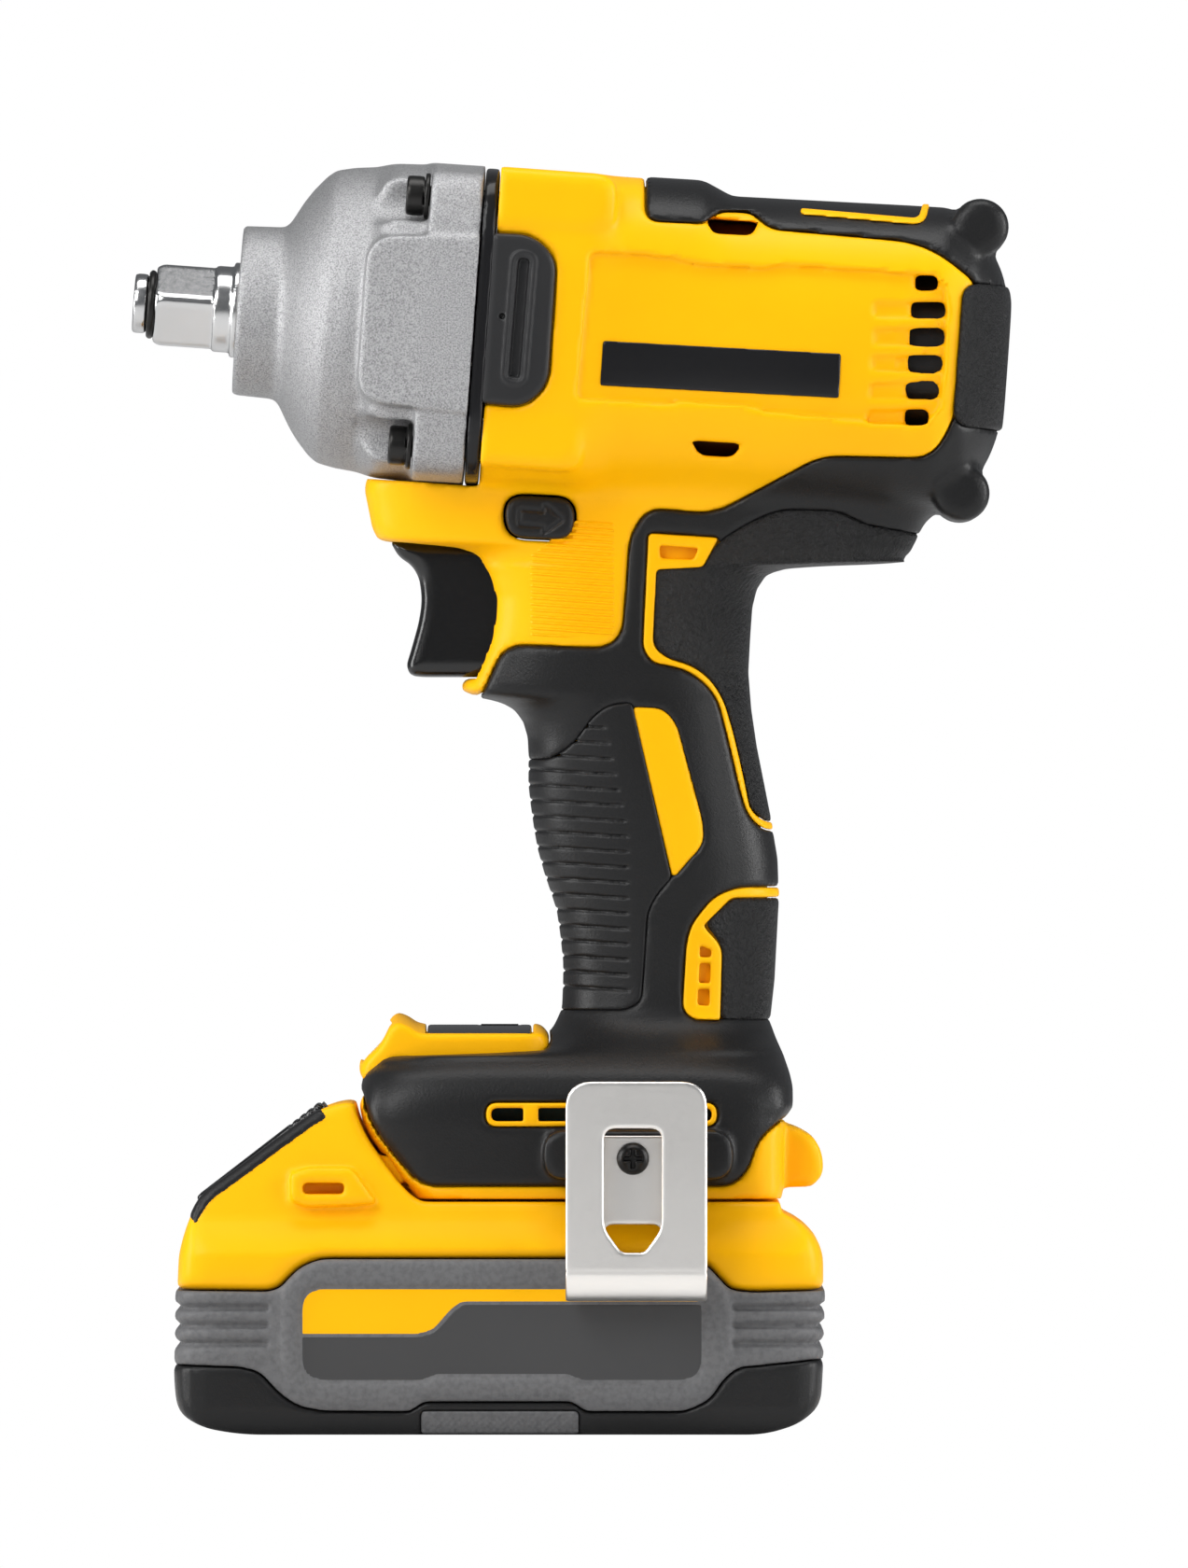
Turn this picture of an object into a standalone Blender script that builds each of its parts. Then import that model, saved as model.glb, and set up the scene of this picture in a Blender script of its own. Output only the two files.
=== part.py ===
"""Cordless impact wrench: half-inch square anvil, pistol grip, work light, belt hook and slide-on battery pack.

Lengths are in millimetres, and the last lines turn them into metres. The origin is the middle of the battery's
base, +Z is up, +X points to the back of the tool and -Y is its left side.
"""
import math

import bmesh
import bpy
from mathutils import Matrix, Vector

MM = 0.001
CLEAR = 0.3
HALF_GAP = 0.15
FAR = 150.0

# Battery pack
BATTERY_HEIGHT = 47.0
BATTERY_HALF_WIDTH = 40.5
BATTERY_CORNER = 9.0
BATTERY_WALL = 4.5
RAIL_HALF_WIDTH = 28.0
RAIL_NECK_HALF_WIDTH = 23.7
RAIL_LIP = 3.7
RAIL_THICKNESS = 5.2
RAIL_BACK = 48.0
CELL_COUNT = 5
RELEASE_HALF_WIDTH = 15.0
RELEASE_THICKNESS = 3.0
RELEASE_TRAVEL = 2.5

# Pistol grip and foot
GRIP_LENGTH = 62.0
HANDLE_HALF_WIDTH = 17.5
FOOT_HALF_WIDTH = 33.5
HOUSING_WALL = 4.6
SKIN = 1.8
PAD_SKIN = 0.9
PAD_PROUD = 0.5
PANEL_DEPTH = 0.8

# Head, measured along its tilted axis from the back of the nose housing
HEAD_TILT = 4.1
HEAD_X = -5.5
HEAD_HEIGHT = 223.0
HEAD_HALF_WIDTH = 33.0
HEAD_TOP = 32.4
HEAD_BOTTOM = 31.8
HEAD_BACK = 107.0
MOTOR_BORE = 27.0

# Nose housing
NOSE_LENGTH = 47.9
NOSE_RADIUS = 32.0
NOSE_WALL = 3.8
COLLAR_RADIUS = 17.1
COLLAR_LENGTH = 8.4
FLANGE_LENGTH = 10.5
FLANGE_HALF_HEIGHT = 31.6
FLANGE_CORNER = 7.0
SIDE_PAD_LENGTH = 20.3
SIDE_PAD_PROUD = 0.6
SPACER_LENGTH = 2.7
NOSE_SCREW_HEIGHT = 25.2
NOSE_SCREW_INSET = 7.0
NOSE_SCREW_LENGTH = 26.0
SCREW_RADIUS = 2.0
SCREW_HEAD_RADIUS = 4.2
SCREW_HEAD_HEIGHT = 3.6
WASHER_RADIUS = 4.7
WASHER_THICKNESS = 1.0

# Impact mechanism
DRIVE_SQUARE = 12.7
DRIVE_TURN = 38.0
DRIVE_LENGTH = 12.6
TIP_RADIUS = 6.1
TIP_LENGTH = 2.5
RING_GROOVE_RADIUS = 5.0
RING_GROOVE_LENGTH = 2.0
RING_RADIUS = 6.9
NECK_LENGTH = 4.6
ANVIL_RADIUS = 8.7
BUSHING_WALL = 3.0
BUSHING_LENGTH = 14.0
WING_LENGTH = 7.5
WING_RADIUS = 21.5
WING_HALF_WIDTH = 5.0
PILOT_RADIUS = 4.8
PILOT_LENGTH = 11.0
CAM_RADIUS = 8.0
HAMMER_RADIUS = 26.5
HAMMER_LENGTH = 21.0
HAMMER_STROKE = 7.5
LUG_ANGLE = 50.0
BALL_RADIUS = 2.8
SPRING_RADIUS = 17.0
SPRING_WIRE = 1.5
SPRING_TURNS = 4.0
CARRIER_RADIUS = 19.0
CARRIER_PLATE = 4.0
PIN_RADIUS = 2.2

# Planetary gear set
GEAR_MODULE = 0.9
SUN_TEETH = 15
PLANET_TEETH = 15
RING_TEETH = 45
PLANET_COUNT = 3
GEAR_FACE = 8.0
BACKLASH = 0.12
ADDENDUM = 0.75
DEDENDUM = 1.0
PRESSURE_ANGLE = 25.0

# Motor
SHAFT_RADIUS = 4.0
BRACKET_THICKNESS = 2.5
BEARING_RADIUS = 9.5
BEARING_WIDTH = 6.0
STATOR_LENGTH = 34.0
STATOR_BORE = 14.2
STATOR_SLOTS = 6
ROTOR_LENGTH = 28.0
AIR_GAP = 0.6
FAN_RADIUS = 23.5
FAN_WIDTH = 8.0
FAN_BLADES = 9

# Controls
TRIGGER_HALF_WIDTH = 8.8
TRIGGER_TRAVEL = 8.0
TRIGGER_STEM_RADIUS = 3.0
TRIGGER_SPRING_WIRE = 0.6
BUTTON_LENGTH = 14.0
BUTTON_HEIGHT = 9.0
BUTTON_PROUD = 1.2
BUTTON_TRAVEL = 3.0
MODE_TRAVEL = 0.8

# Terminal block and control module in the foot
TERMINAL_FRONT = 16.0
TERMINAL_REAR = 42.0
TERMINAL_HALF_WIDTH = 20.0
TERMINAL_HEIGHT = 5.6
TERMINAL_GAP = 1.1
TERMINAL_SLACK = 0.5
BLADE_THICKNESS = 0.8
BLADE_SETBACK = 4.0
BLADE_PLACES = [-14, -5, 5, 14]
CONTROL_FRONT = -5.0
CONTROL_REAR = 47.0
CONTROL_HEIGHT = 9.1
FOOT_WALL = 7.5

# Belt hook
HOOK_THICKNESS = 1.8
HOOK_GAP = 8.2
HOOK_LEFT = 13.0
HOOK_RIGHT = 41.4
HOOK_TOP = 71.1
HOOK_BOTTOM = 27.0
HOOK_SCREW_X = 26.5
HOOK_SCREW_Z = 55.5

# Drawn side profiles of grip and foot as (height, x), from the head down
GUARD_FRONT = [(198, -27), (188, -27.4), (180.6, -24.8), (178.8, -14), (173, -3.4), (166, -2.4), (153.2, -6)]
GRIP_FRONT = [(150, -7.7), (147.6, -0.6), (144.2, 4.7), (136, 6), (124, 6.4), (105, 11.3), (88, 12.8)]
FOOT_FRONT = [(83, 11.3), (77.8, 7.5), (75.8, -22), (71, -28.2), (63, -26.2), (47.3, -15.6)]
FRONT_PROFILE = GUARD_FRONT + GRIP_FRONT + FOOT_FRONT
REAR_PROFILE = [
    (198, 84.5), (188, 86), (180.6, 84.8), (176.7, 82.3), (174.8, 65), (173, 55.8), (166, 51.2),
    (153.2, 49.8), (136, 52), (120, 55), (105, 55.5), (88, 54.3),
    (83, 54.2), (77.8, 56.8), (71, 58.5), (63, 57.4), (47.3, 57),
]
SECTION_POWER = [
    (198, 4), (178, 4), (168, 3), (150, 2.8), (130, 2.5), (90, 2.5), (80, 3), (75, 4.5), (60, 6), (47, 6),
]

# Drawn outlines as (x, height, corner radius) on the tool's side
BLACK_AREA = [
    (29.1, 262), (29.1, 243.7, 2.3), (41.5, 243.4, 1.5), (43.6, 246.2, 1.2), (50.6, 245.9, 1.5), (54, 242.3, 1.5),
    (85.5, 239.6, 10), (96.5, 231, 4), (93.5, 215), (91, 203.5, 5), (86.5, 196.4, 8), (64.5, 196.7, 3),
    (42.9, 185.2, 4), (29.5, 186.2, 5), (26, 181, 4), (24.3, 158, 5.6), (0.8, 158.8, 3), (-3.6, 149.2),
    (-9, 146.8), (-9, 120), (6, 82.5), (8.6, 75), (-22, 75), (-40, 77), (-40, 69), (-28, 68.5),
    (-25.9, 62.9, 3), (-18.3, 51, 3), (-15.5, 49.8, 1), (46.5, 49.8, 2), (49.5, 53, 3), (52, 59.8, 3),
    (57, 64.3, 2), (75, 64.3), (75, 160), (120, 168), (120, 262),
]
FINGER_AREA = [
    (-9, 135.4), (12.6, 135.6, 7), (19, 146.9, 6), (26.4, 146.9, 0.5), (34.2, 111.6, 0.5), (29.2, 107.4, 8),
    (27.9, 85.4, 2), (-9, 85.4),
]
BADGE_AREA = [(26.8, 146.9, 0.5), (35, 146.4, 4), (42.2, 117.8, 3), (34.6, 111.7, 0.5)]
PALM_AREA = [
    (31.7, 173.6), (41, 174, 1), (44, 179.5, 2), (50, 183.4, 3), (56, 186, 2), (68.2, 185.6, 2), (73, 182.6, 2),
    (84.2, 180.9), (95, 180.6), (95, 165), (75, 165), (75, 123.2), (54.5, 123.2), (51.6, 124.5, 2), (50.3, 127),
    (47.5, 140.1, 9), (44, 150.6, 8), (37.6, 155.2, 5), (31.2, 156.8, 2.5),
]
HEEL_AREA = [(75, 107.5), (46.8, 107.5, 1), (41.8, 102.8, 1), (45, 97.8, 2), (44.6, 83.7, 0.5), (75, 83.3)]
UPPER_RIBBON = [
    (29.8, 181, 0.8), (44.4, 180.4, 0.8), (40.8, 174.3), (31.3, 173.9), (30.7, 157.1, 2.5), (37.4, 154.7, 5),
    (43.6, 150.2, 8), (47, 140), (49.9, 126.6), (51.4, 124.1, 2), (54.5, 122.8), (75, 122.8), (75, 121.4),
    (54.5, 121.4), (50.3, 123, 2), (48.9, 126.6), (45.7, 140.2, 9), (42.6, 149.6, 8), (37, 153.4, 5),
    (28.6, 155.6, 3.5),
]
LOWER_RIBBON = [
    (75, 109.8), (46.2, 109.8, 3), (41, 105.5, 4), (37.4, 99, 6), (36.6, 83.2, 1.5), (44.2, 83.2),
    (44.6, 97.8, 2), (41.3, 102.8, 1), (46.6, 107.9, 1), (75, 107.9),
]
REAR_PAD_AREA = [(93.4, 231.3, 2.5), (112, 230.4), (112, 201.3), (91.2, 203.2, 2.5)]
FOOT_VENT_AREA = [(-3, 61.9, 2.3), (-3, 66.6, 2.3), (43.4, 66.6, 2.3), (43.4, 61.9, 2.3)]
FOOT_VENT_SLOT = [(-2, 62.9, 1.3), (-2, 65.6, 1.3), (42.4, 65.6, 1.3), (42.4, 62.9, 1.3)]
HOOK_BOSS_AREA = [(8.5, 51.3, 4.6), (8.5, 61.1, 4.6), (46.6, 61.1, 4.6), (46.6, 51.3, 4.6)]
EAR_AREA = [(50, 62.6), (58, 62.6), (64.2, 59.2, 3), (65.2, 50, 2), (57, 49.2), (50, 49.2)]
TRIGGER_AREA = [
    (-22.2, 179.2), (-21.6, 177.7), (-17.2, 174, 4), (-15.2, 166, 12), (-19.4, 155.4, 3), (-18.4, 152.3, 1.5),
    (3, 152.3), (3, 179.2),
]
TRIGGER_SLOT = [(-40, 151.9), (13.2, 151.9), (13.2, 179.6), (-40, 179.6)]
TRIGGER_STEM_HEIGHT = 166.0
SWITCH_AREA = [(13, 151.5), (31, 151.5), (31, 177.4), (13, 177.4)]
UPPER_CAVITY = [(-0.5, 168), (42.5, 168), (42.5, 200), (-0.5, 200)]
FOOT_CAVITY = [(-8, 58.6), (49, 58.6), (49, 73), (-8, 73)]
DIRECTION_BUTTON_PLACE = (7.5, 184.4)
BEZEL_AREA = [
    (-27.4, 72.9), (-28.9, 74.2, 0.8), (-22.4, 83.6, 1), (-20.4, 85, 1), (-16.4, 82), (8.8, 82, 1),
    (8.8, 76.4), (-24.2, 76.1),
]
BEZEL_POCKET = [(-15, 79), (6.4, 79), (6.4, 90), (-15, 90)]
LENS_AREA = [(-28.5, 75.9), (-23.4, 83.2), (-22.2, 82.4), (-27.3, 75.1)]
MODE_BUTTON_AREA = [(-4.1, 80.2), (3.4, 80.2), (3.4, 82.2), (-4.1, 82.2)]

# Drawn outlines on the side of the battery pack
PACK_UPPER_AREA = [
    (-65.6, 29.2), (-65.3, 35.7), (-63.9, 41.9, 3), (-55.8, 52.6), (-46.4, 60.2), (-37, 65.4, 4), (-33.6, 66.8, 2),
    (-29.8, 66.8), (-29.6, 63.5, 3), (-23.6, 54), (-16, 46.7), (56.6, 46.7), (56.6, 44.3), (63.7, 39.3, 3),
    (65.6, 35, 3), (65.6, 29.2), (50.5, 29.2), (46.8, 30, 1), (42.2, 35.5, 2), (-38.5, 35.5, 3),
    (-43.6, 32, 1), (-46, 29.2, 1),
]
PACK_LOWER_AREA = [
    (-65.6, 28.9), (-46.2, 28.9, 1), (-43.6, 31.6, 1), (-38.4, 35.1, 3), (42, 35.1, 2), (46.6, 29.6, 1),
    (50.5, 28.8), (65.6, 28.8), (65.6, 14.8), (48.5, 14, 2), (44, 12), (40, 6.4, 3), (17.5, 5.8, 1), (14, 8.3, 1),
    (-15.4, 8.3, 1), (-18.2, 5.8, 1), (-40.8, 6.2, 3), (-46.4, 13.6, 3), (-65.8, 14.6),
]
PACK_BASE_AREA = [
    (-66, 14.3), (-46.6, 13.3, 3), (-41, 5.8, 3), (-18.2, 5.4, 1), (-15.4, 7.9, 1), (14, 7.9, 1), (17.5, 5.4, 1),
    (40.2, 6, 3), (44.3, 11.7), (48.6, 13.7, 2), (65.5, 14.5), (64.6, 8), (63.4, 4.6, 3), (55, 0.8, 4), (47, 0),
    (-52, 0), (-62.4, 2, 4), (-66.2, 7, 3),
]
RELEASE_START = (-61.2, 46.6)
RELEASE_END = (-35.6, 66.3)
CELL_AREA = [(-57, 5.4), (57, 5.4), (57, 38), (-57, 38)]
CELL_GROOVE = 1.2

SEGMENTS = 22
FINE_SEGMENTS = 10
GRIP_POINTS = 12
HEAD_POINTS = 16
FLAT_ANGLE = 2.5


def rise(height):
    """Height of a point drawn on the tool, whose foot lies one clearance above the battery's seam."""
    drawn_foot = GRIP_FRONT[-1][0]
    drawn_length = GRIP_FRONT[0][0] - drawn_foot
    share = min(max((height - drawn_foot) / drawn_length, 0), 1)
    drawn_seam = FOOT_FRONT[-1][0] - CLEAR
    return height + BATTERY_HEIGHT - drawn_seam + (GRIP_LENGTH - drawn_length) * share


def pack_rise(height):
    """Height of a point drawn on the battery pack, whose grey band takes up a change of its height."""
    band_top = PACK_LOWER_AREA[11][1]
    band_foot = PACK_LOWER_AREA[12][1]
    share = min(max((height - band_foot) / (band_top - band_foot), 0), 1)
    drawn_seam = FOOT_FRONT[-1][0] - CLEAR
    return height + (BATTERY_HEIGHT - drawn_seam) * share


def between(points, place):
    """Value at a place on a list of (place, value) points, which run downwards."""
    ordered = sorted(points)
    if place <= ordered[0][0]:
        return ordered[0][1]
    for low, high in zip(ordered, ordered[1:]):
        if place <= high[0]:
            share = (place - low[0]) / max(high[0] - low[0], 1e-6)
            return low[1] + share * (high[1] - low[1])
    return ordered[-1][1]


def rounded(corners, steps=1):
    """Closed outline through (a, b) or (a, b, radius) corners, with an arc where a radius is given."""
    points = []
    for index, corner in enumerate(corners):
        here = Vector(corner[:2])
        radius = corner[2] if len(corner) > 2 else 0
        if radius == 0:
            points.append(here)
            continue
        back = Vector(corners[index - 1][:2]) - here
        ahead = Vector(corners[(index + 1) % len(corners)][:2]) - here
        half = back.angle(ahead) / 2
        reach = min(radius / math.tan(half), 0.49 * back.length, 0.49 * ahead.length)
        start = here + back.normalized() * reach
        end = here + ahead.normalized() * reach
        middle = (back.normalized() + ahead.normalized()).normalized()
        centre = here + middle * (reach / math.cos(half))
        first = math.atan2(*reversed(start - centre))
        last = math.atan2(*reversed(end - centre))
        turn = (last - first + math.pi) % (2 * math.pi) - math.pi
        size = (start - centre).length
        for step in range(steps + 1):
            angle = first + turn * step / steps
            points.append(centre + size * Vector((math.cos(angle), math.sin(angle))))
    return points


def grown(points, distance):
    """Outline with every edge moved outwards by a distance."""
    area = sum(a.cross(b) for a, b in zip(points, points[1:] + points[:1]))
    side = 1 if area > 0 else -1
    moved = []
    for index, here in enumerate(points):
        into = (here - points[index - 1]).normalized()
        out = (points[(index + 1) % len(points)] - here).normalized()
        first = Vector((into.y, -into.x)) * side
        second = Vector((out.y, -out.x)) * side
        moved.append(here + (first + second) * distance / max(1 + first.dot(second), 0.4))
    return moved


def tool_outline(corners, grow=0):
    """Outline drawn on the tool's side, at the heights that the sizes give."""
    raised = [(corner[0], rise(corner[1]), *corner[2:]) for corner in corners]
    return grown(rounded(raised), grow)


def pack_outline(corners, grow=0):
    """Outline drawn on the battery's side, at the heights that the sizes give."""
    raised = [(corner[0], pack_rise(corner[1]), *corner[2:]) for corner in corners]
    return grown(rounded(raised), grow)


def rectangle(low_a, low_b, high_a, high_b, radius=0):
    """Rounded rectangle as an outline."""
    corners = [(low_a, low_b), (high_a, low_b), (high_a, high_b), (low_a, high_b)]
    return rounded([(a, b, radius) for a, b in corners])


def circle(radius, count, centre=(0, 0)):
    """Round outline."""
    angles = [2 * math.pi * index / count for index in range(count)]
    return [Vector((centre[0] + radius * math.cos(a), centre[1] + radius * math.sin(a))) for a in angles]


def new_object(bm, parent=None):
    """Object from a bmesh."""
    bmesh.ops.recalc_face_normals(bm, faces=bm.faces)
    mesh = bpy.data.meshes.new("form")
    bm.to_mesh(mesh)
    bm.free()
    form = bpy.data.objects.new("form", mesh)
    form.parent = parent
    bpy.context.collection.objects.link(form)
    return form


def loft(rings, parent=None):
    """Closed solid through rings of points."""
    bm = bmesh.new()
    loops = [[bm.verts.new(point) for point in ring] for ring in rings]
    for low, high in zip(loops, loops[1:]):
        for index in range(len(low)):
            after = (index + 1) % len(low)
            bm.faces.new((low[index], low[after], high[after], high[index]))
    bm.faces.new(list(reversed(loops[0])))
    bm.faces.new(loops[-1])
    bmesh.ops.triangulate(bm, faces=bm.faces)
    return new_object(bm, parent)


def prism_y(outline, low, high, parent=None):
    """Outline in X and Z, extruded along Y."""
    return loft([[(a, place, b) for a, b in outline] for place in (low, high)], parent)


def prism_x(outline, low, high, parent=None):
    """Outline in Y and Z, extruded along X."""
    return loft([[(place, a, b) for a, b in outline] for place in (low, high)], parent)


def prism_z(outline, low, high, parent=None):
    """Outline in X and Y, extruded along Z."""
    return loft([[(a, b, place) for a, b in outline] for place in (low, high)], parent)


def box(low, high, parent=None):
    """Plain block between two corners."""
    return prism_y(rectangle(low[0], low[2], high[0], high[2]), low[1], high[1], parent)


def turned(profile, parent=None, segments=SEGMENTS, ring=False):
    """Solid of revolution about X from (x, radius) points; a ring's profile closes on itself."""
    bm = bmesh.new()
    rows = []
    for place, radius in profile:
        if radius == 0:
            rows.append([bm.verts.new((place, 0, 0))])
        else:
            rows.append([bm.verts.new((place, a, b)) for a, b in circle(radius, segments)])
    pairs = list(zip(rows, rows[1:]))
    if ring:
        pairs.append((rows[-1], rows[0]))
    for first, second in pairs:
        for index in range(segments):
            after = (index + 1) % segments
            corners = [first[index % len(first)], first[after % len(first)]]
            corners += [second[after % len(second)], second[index % len(second)]]
            bm.faces.new(list(dict.fromkeys(corners)))
    return new_object(bm, parent)


def rod(start, end, radius, parent=None, segments=FINE_SEGMENTS):
    """Round bar along X."""
    return turned([(start, 0), (start, radius), (end, radius), (end, 0)], parent, segments)


def tube(start, end, inner, outer, parent=None, segments=SEGMENTS):
    """Round tube along X."""
    profile = [(start, inner), (end, inner), (end, outer), (start, outer)]
    return turned(profile, parent, segments, ring=True)


def move(form, x=0, y=0, z=0, turn=0):
    """Shift a form's mesh in its own frame, after a turn about X."""
    bm = bmesh.new()
    bm.from_mesh(form.data)
    for vert in bm.verts:
        side = vert.co.y * math.cos(turn) - vert.co.z * math.sin(turn)
        vert.co.z = vert.co.y * math.sin(turn) + vert.co.z * math.cos(turn) + z
        vert.co.y = side + y
        vert.co.x += x
    bm.to_mesh(form.data)
    bm.free()
    return form


def combine(base, tool, operation):
    """Boolean of two forms; the tool is used up. The exact solver leaves these lofted skins open."""
    modifier = base.modifiers.new("combine", "BOOLEAN")
    modifier.operation = operation
    modifier.solver = "MANIFOLD"
    modifier.object = tool
    graph = bpy.context.evaluated_depsgraph_get()
    mesh = bpy.data.meshes.new_from_object(base.evaluated_get(graph))
    base.modifiers.clear()
    base.data = mesh
    bpy.data.objects.remove(tool)
    return base


def main_body(form):
    """Drop the flakes that a cut along a shared face leaves beside the main body."""
    bm = bmesh.new()
    bm.from_mesh(form.data)
    waiting = set(bm.verts)
    bodies = []
    while waiting:
        reached = [waiting.pop()]
        for vert in reached:
            for edge in vert.link_edges:
                other = edge.other_vert(vert)
                if other in waiting:
                    waiting.remove(other)
                    reached.append(other)
        bodies.append(reached)
    bodies.sort(key=len)
    for flake in bodies[:-1]:
        bmesh.ops.delete(bm, geom=flake, context="VERTS")
    bm.to_mesh(form.data)
    bm.free()
    return form


def simplify(form):
    """Fuse faces that lie flat to each other, as far as the mesh stays closed."""
    attempts = [(share, method) for share in (1, 0.8, 0.6, 0.4, 0.2, 0.05) for method in ("BEAUTY", "EAR_CLIP")]
    for share, method in attempts:
        bm = bmesh.new()
        bm.from_mesh(form.data)
        limit = math.radians(FLAT_ANGLE * share)
        bmesh.ops.dissolve_limit(bm, angle_limit=limit, verts=bm.verts, edges=bm.edges)
        bmesh.ops.triangulate(bm, faces=bm.faces, ngon_method=method)
        closed = all(edge.is_manifold for edge in bm.edges)
        if closed:
            bm.to_mesh(form.data)
        bm.free()
        if closed:
            return


def cut(base, *tools):
    """Take each tool away from the base."""
    for tool in tools:
        combine(base, tool, "DIFFERENCE")
    return base


def join(base, *tools):
    """Fuse each tool to the base."""
    for tool in tools:
        combine(base, tool, "UNION")
    return base


def keep(base, *tools):
    """Keep what the base shares with each tool."""
    for tool in tools:
        combine(base, tool, "INTERSECT")
    return base


def copy(form):
    """Second copy of a form with a mesh of its own."""
    twin = form.copy()
    twin.data = form.data.copy()
    bpy.context.collection.objects.link(twin)
    return twin


def mirrored(form):
    """Copy of a form on the other side of the tool."""
    twin = copy(form)
    bm = bmesh.new()
    bm.from_mesh(twin.data)
    bmesh.ops.scale(bm, vec=(1, -1, 1), verts=bm.verts)
    bmesh.ops.reverse_faces(bm, faces=bm.faces)
    bm.to_mesh(twin.data)
    bm.free()
    return twin


def material(name, colour, roughness, metallic=0.0):
    """Plain finish."""
    finish = bpy.data.materials.new(name)
    finish.use_nodes = True
    shader = finish.node_tree.nodes["Principled BSDF"]
    shader.inputs["Base Color"].default_value = (*colour, 1)
    shader.inputs["Roughness"].default_value = roughness
    shader.inputs["Metallic"].default_value = metallic
    return finish


def name_part(form, name, finish):
    """Give a finished solid its name, finish and shading."""
    simplify(form)
    form.name = name
    form.data.name = name
    form.data.materials.clear()
    form.data.materials.append(finish)
    form.data.shade_smooth()
    form.data.set_sharp_from_angle(angle=math.radians(35))
    return form


def empty(name, location, rotation=(0, 0, 0), parent=None):
    """Frame that pieces are placed in."""
    frame = bpy.data.objects.new(name, None)
    frame.location = location
    frame.rotation_euler = rotation
    frame.parent = parent
    bpy.context.collection.objects.link(frame)
    return frame


for leftover in list(bpy.data.objects):
    bpy.data.objects.remove(leftover)

YELLOW = material("yellow_plastic", (0.95, 0.52, 0.01), 0.45)
BLACK = material("black_overmould", (0.02, 0.02, 0.022), 0.7)
PAD_GREY = material("textured_pad", (0.035, 0.035, 0.037), 0.85)
PLATE_GREY = material("plate_grey", (0.07, 0.07, 0.072), 0.5)
CAST = material("cast_aluminium", (0.58, 0.58, 0.59), 0.45, 1)
STEEL = material("steel", (0.55, 0.54, 0.52), 0.28, 1)
DARK_STEEL = material("dark_steel", (0.06, 0.06, 0.06), 0.4, 1)
BRONZE = material("bronze", (0.5, 0.33, 0.14), 0.4, 1)
NICKEL = material("nickel_strip", (0.66, 0.64, 0.61), 0.25, 1)
PACK_GREY = material("pack_grey", (0.13, 0.13, 0.135), 0.6)
GLOSS_BLACK = material("gloss_black", (0.012, 0.012, 0.012), 0.2)
LENS = material("lens", (0.85, 0.88, 0.9), 0.1)
COPPER = material("motor_copper", (0.5, 0.22, 0.08), 0.4, 0.6)
BOARD = material("potted_board", (0.03, 0.07, 0.05), 0.5)

head = empty("head", (HEAD_X, 0, rise(HEAD_HEIGHT)), (0, math.radians(HEAD_TILT), 0))

HOUSING_START = SPACER_LENGTH + 2 * CLEAR
SKIN_FLOOR = SKIN + 0.55
BEZEL_HALF_WIDTH = 0.66 * FOOT_HALF_WIDTH
HOOK_SCREW_TIP = -RAIL_HALF_WIDTH - 1.5
CHAMBER_RADIUS = NOSE_RADIUS - NOSE_WALL


def inset_profile(profile, inset, side):
    """Side profile moved into the body by an inset; side is 1 on the front and -1 on the back."""
    moved = []
    for index, here in enumerate(profile):
        point = Vector((here[1], here[0]))
        normals = []
        if index > 0:
            step = point - Vector((profile[index - 1][1], profile[index - 1][0]))
            normals.append(Vector((-step.y, step.x)).normalized() * side)
        if index < len(profile) - 1:
            step = Vector((profile[index + 1][1], profile[index + 1][0])) - point
            normals.append(Vector((-step.y, step.x)).normalized() * side)
        normal = sum(normals, Vector((0, 0))).normalized()
        spread = max(normal.dot(normals[0]), 0.6)
        moved.append((point.y + normal.y * inset / spread, point.x + normal.x * inset / spread))
    return moved


def body_half_width(height):
    """Half-width of grip and foot at a drawn height."""
    handle = HANDLE_HALF_WIDTH
    foot = FOOT_HALF_WIDTH
    flare = foot - handle
    widths = [
        (198, handle + 3.5), (188, handle + 0.7), (178, handle), (150, handle), (130, handle + 0.5),
        (105, handle - 0.3), (90, handle - 0.5), (84, handle + 0.03 * flare), (80, handle + 0.2 * flare),
        (76, handle + 0.6 * flare), (72, foot - 2), (68, foot - 0.5), (63, foot), (47, foot - 0.7),
    ]
    return between(widths, height)


def body_ring(height, front, rear, half_width):
    """Rounded section of grip or foot at a drawn height."""
    power = between(SECTION_POWER, height)
    centre = (front + rear) / 2
    half_length = (rear - front) / 2
    ring = []
    for index in range(GRIP_POINTS):
        angle = 2 * math.pi * index / GRIP_POINTS
        along = math.copysign(abs(math.cos(angle)) ** (2 / power), math.cos(angle))
        across = math.copysign(abs(math.sin(angle)) ** (2 / power), math.sin(angle))
        ring.append((centre + half_length * along, half_width * across, rise(height)))
    return ring


def body_form(inset):
    """Grip and foot as one lofted solid."""
    front = inset_profile(FRONT_PROFILE, inset, 1)
    rear = inset_profile(REAR_PROFILE, inset, -1)
    lowest = FRONT_PROFILE[-1][0]
    highest = FRONT_PROFILE[0][0]
    heights = sorted({round(min(max(height, lowest), highest), 2) for height, _ in front})
    rings = []
    for height in heights:
        x_front = between(front, height)
        x_rear = between(rear, height)
        rings.append(body_ring(height, x_front, x_rear, body_half_width(height) - inset))
    return loft(rings)


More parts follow.
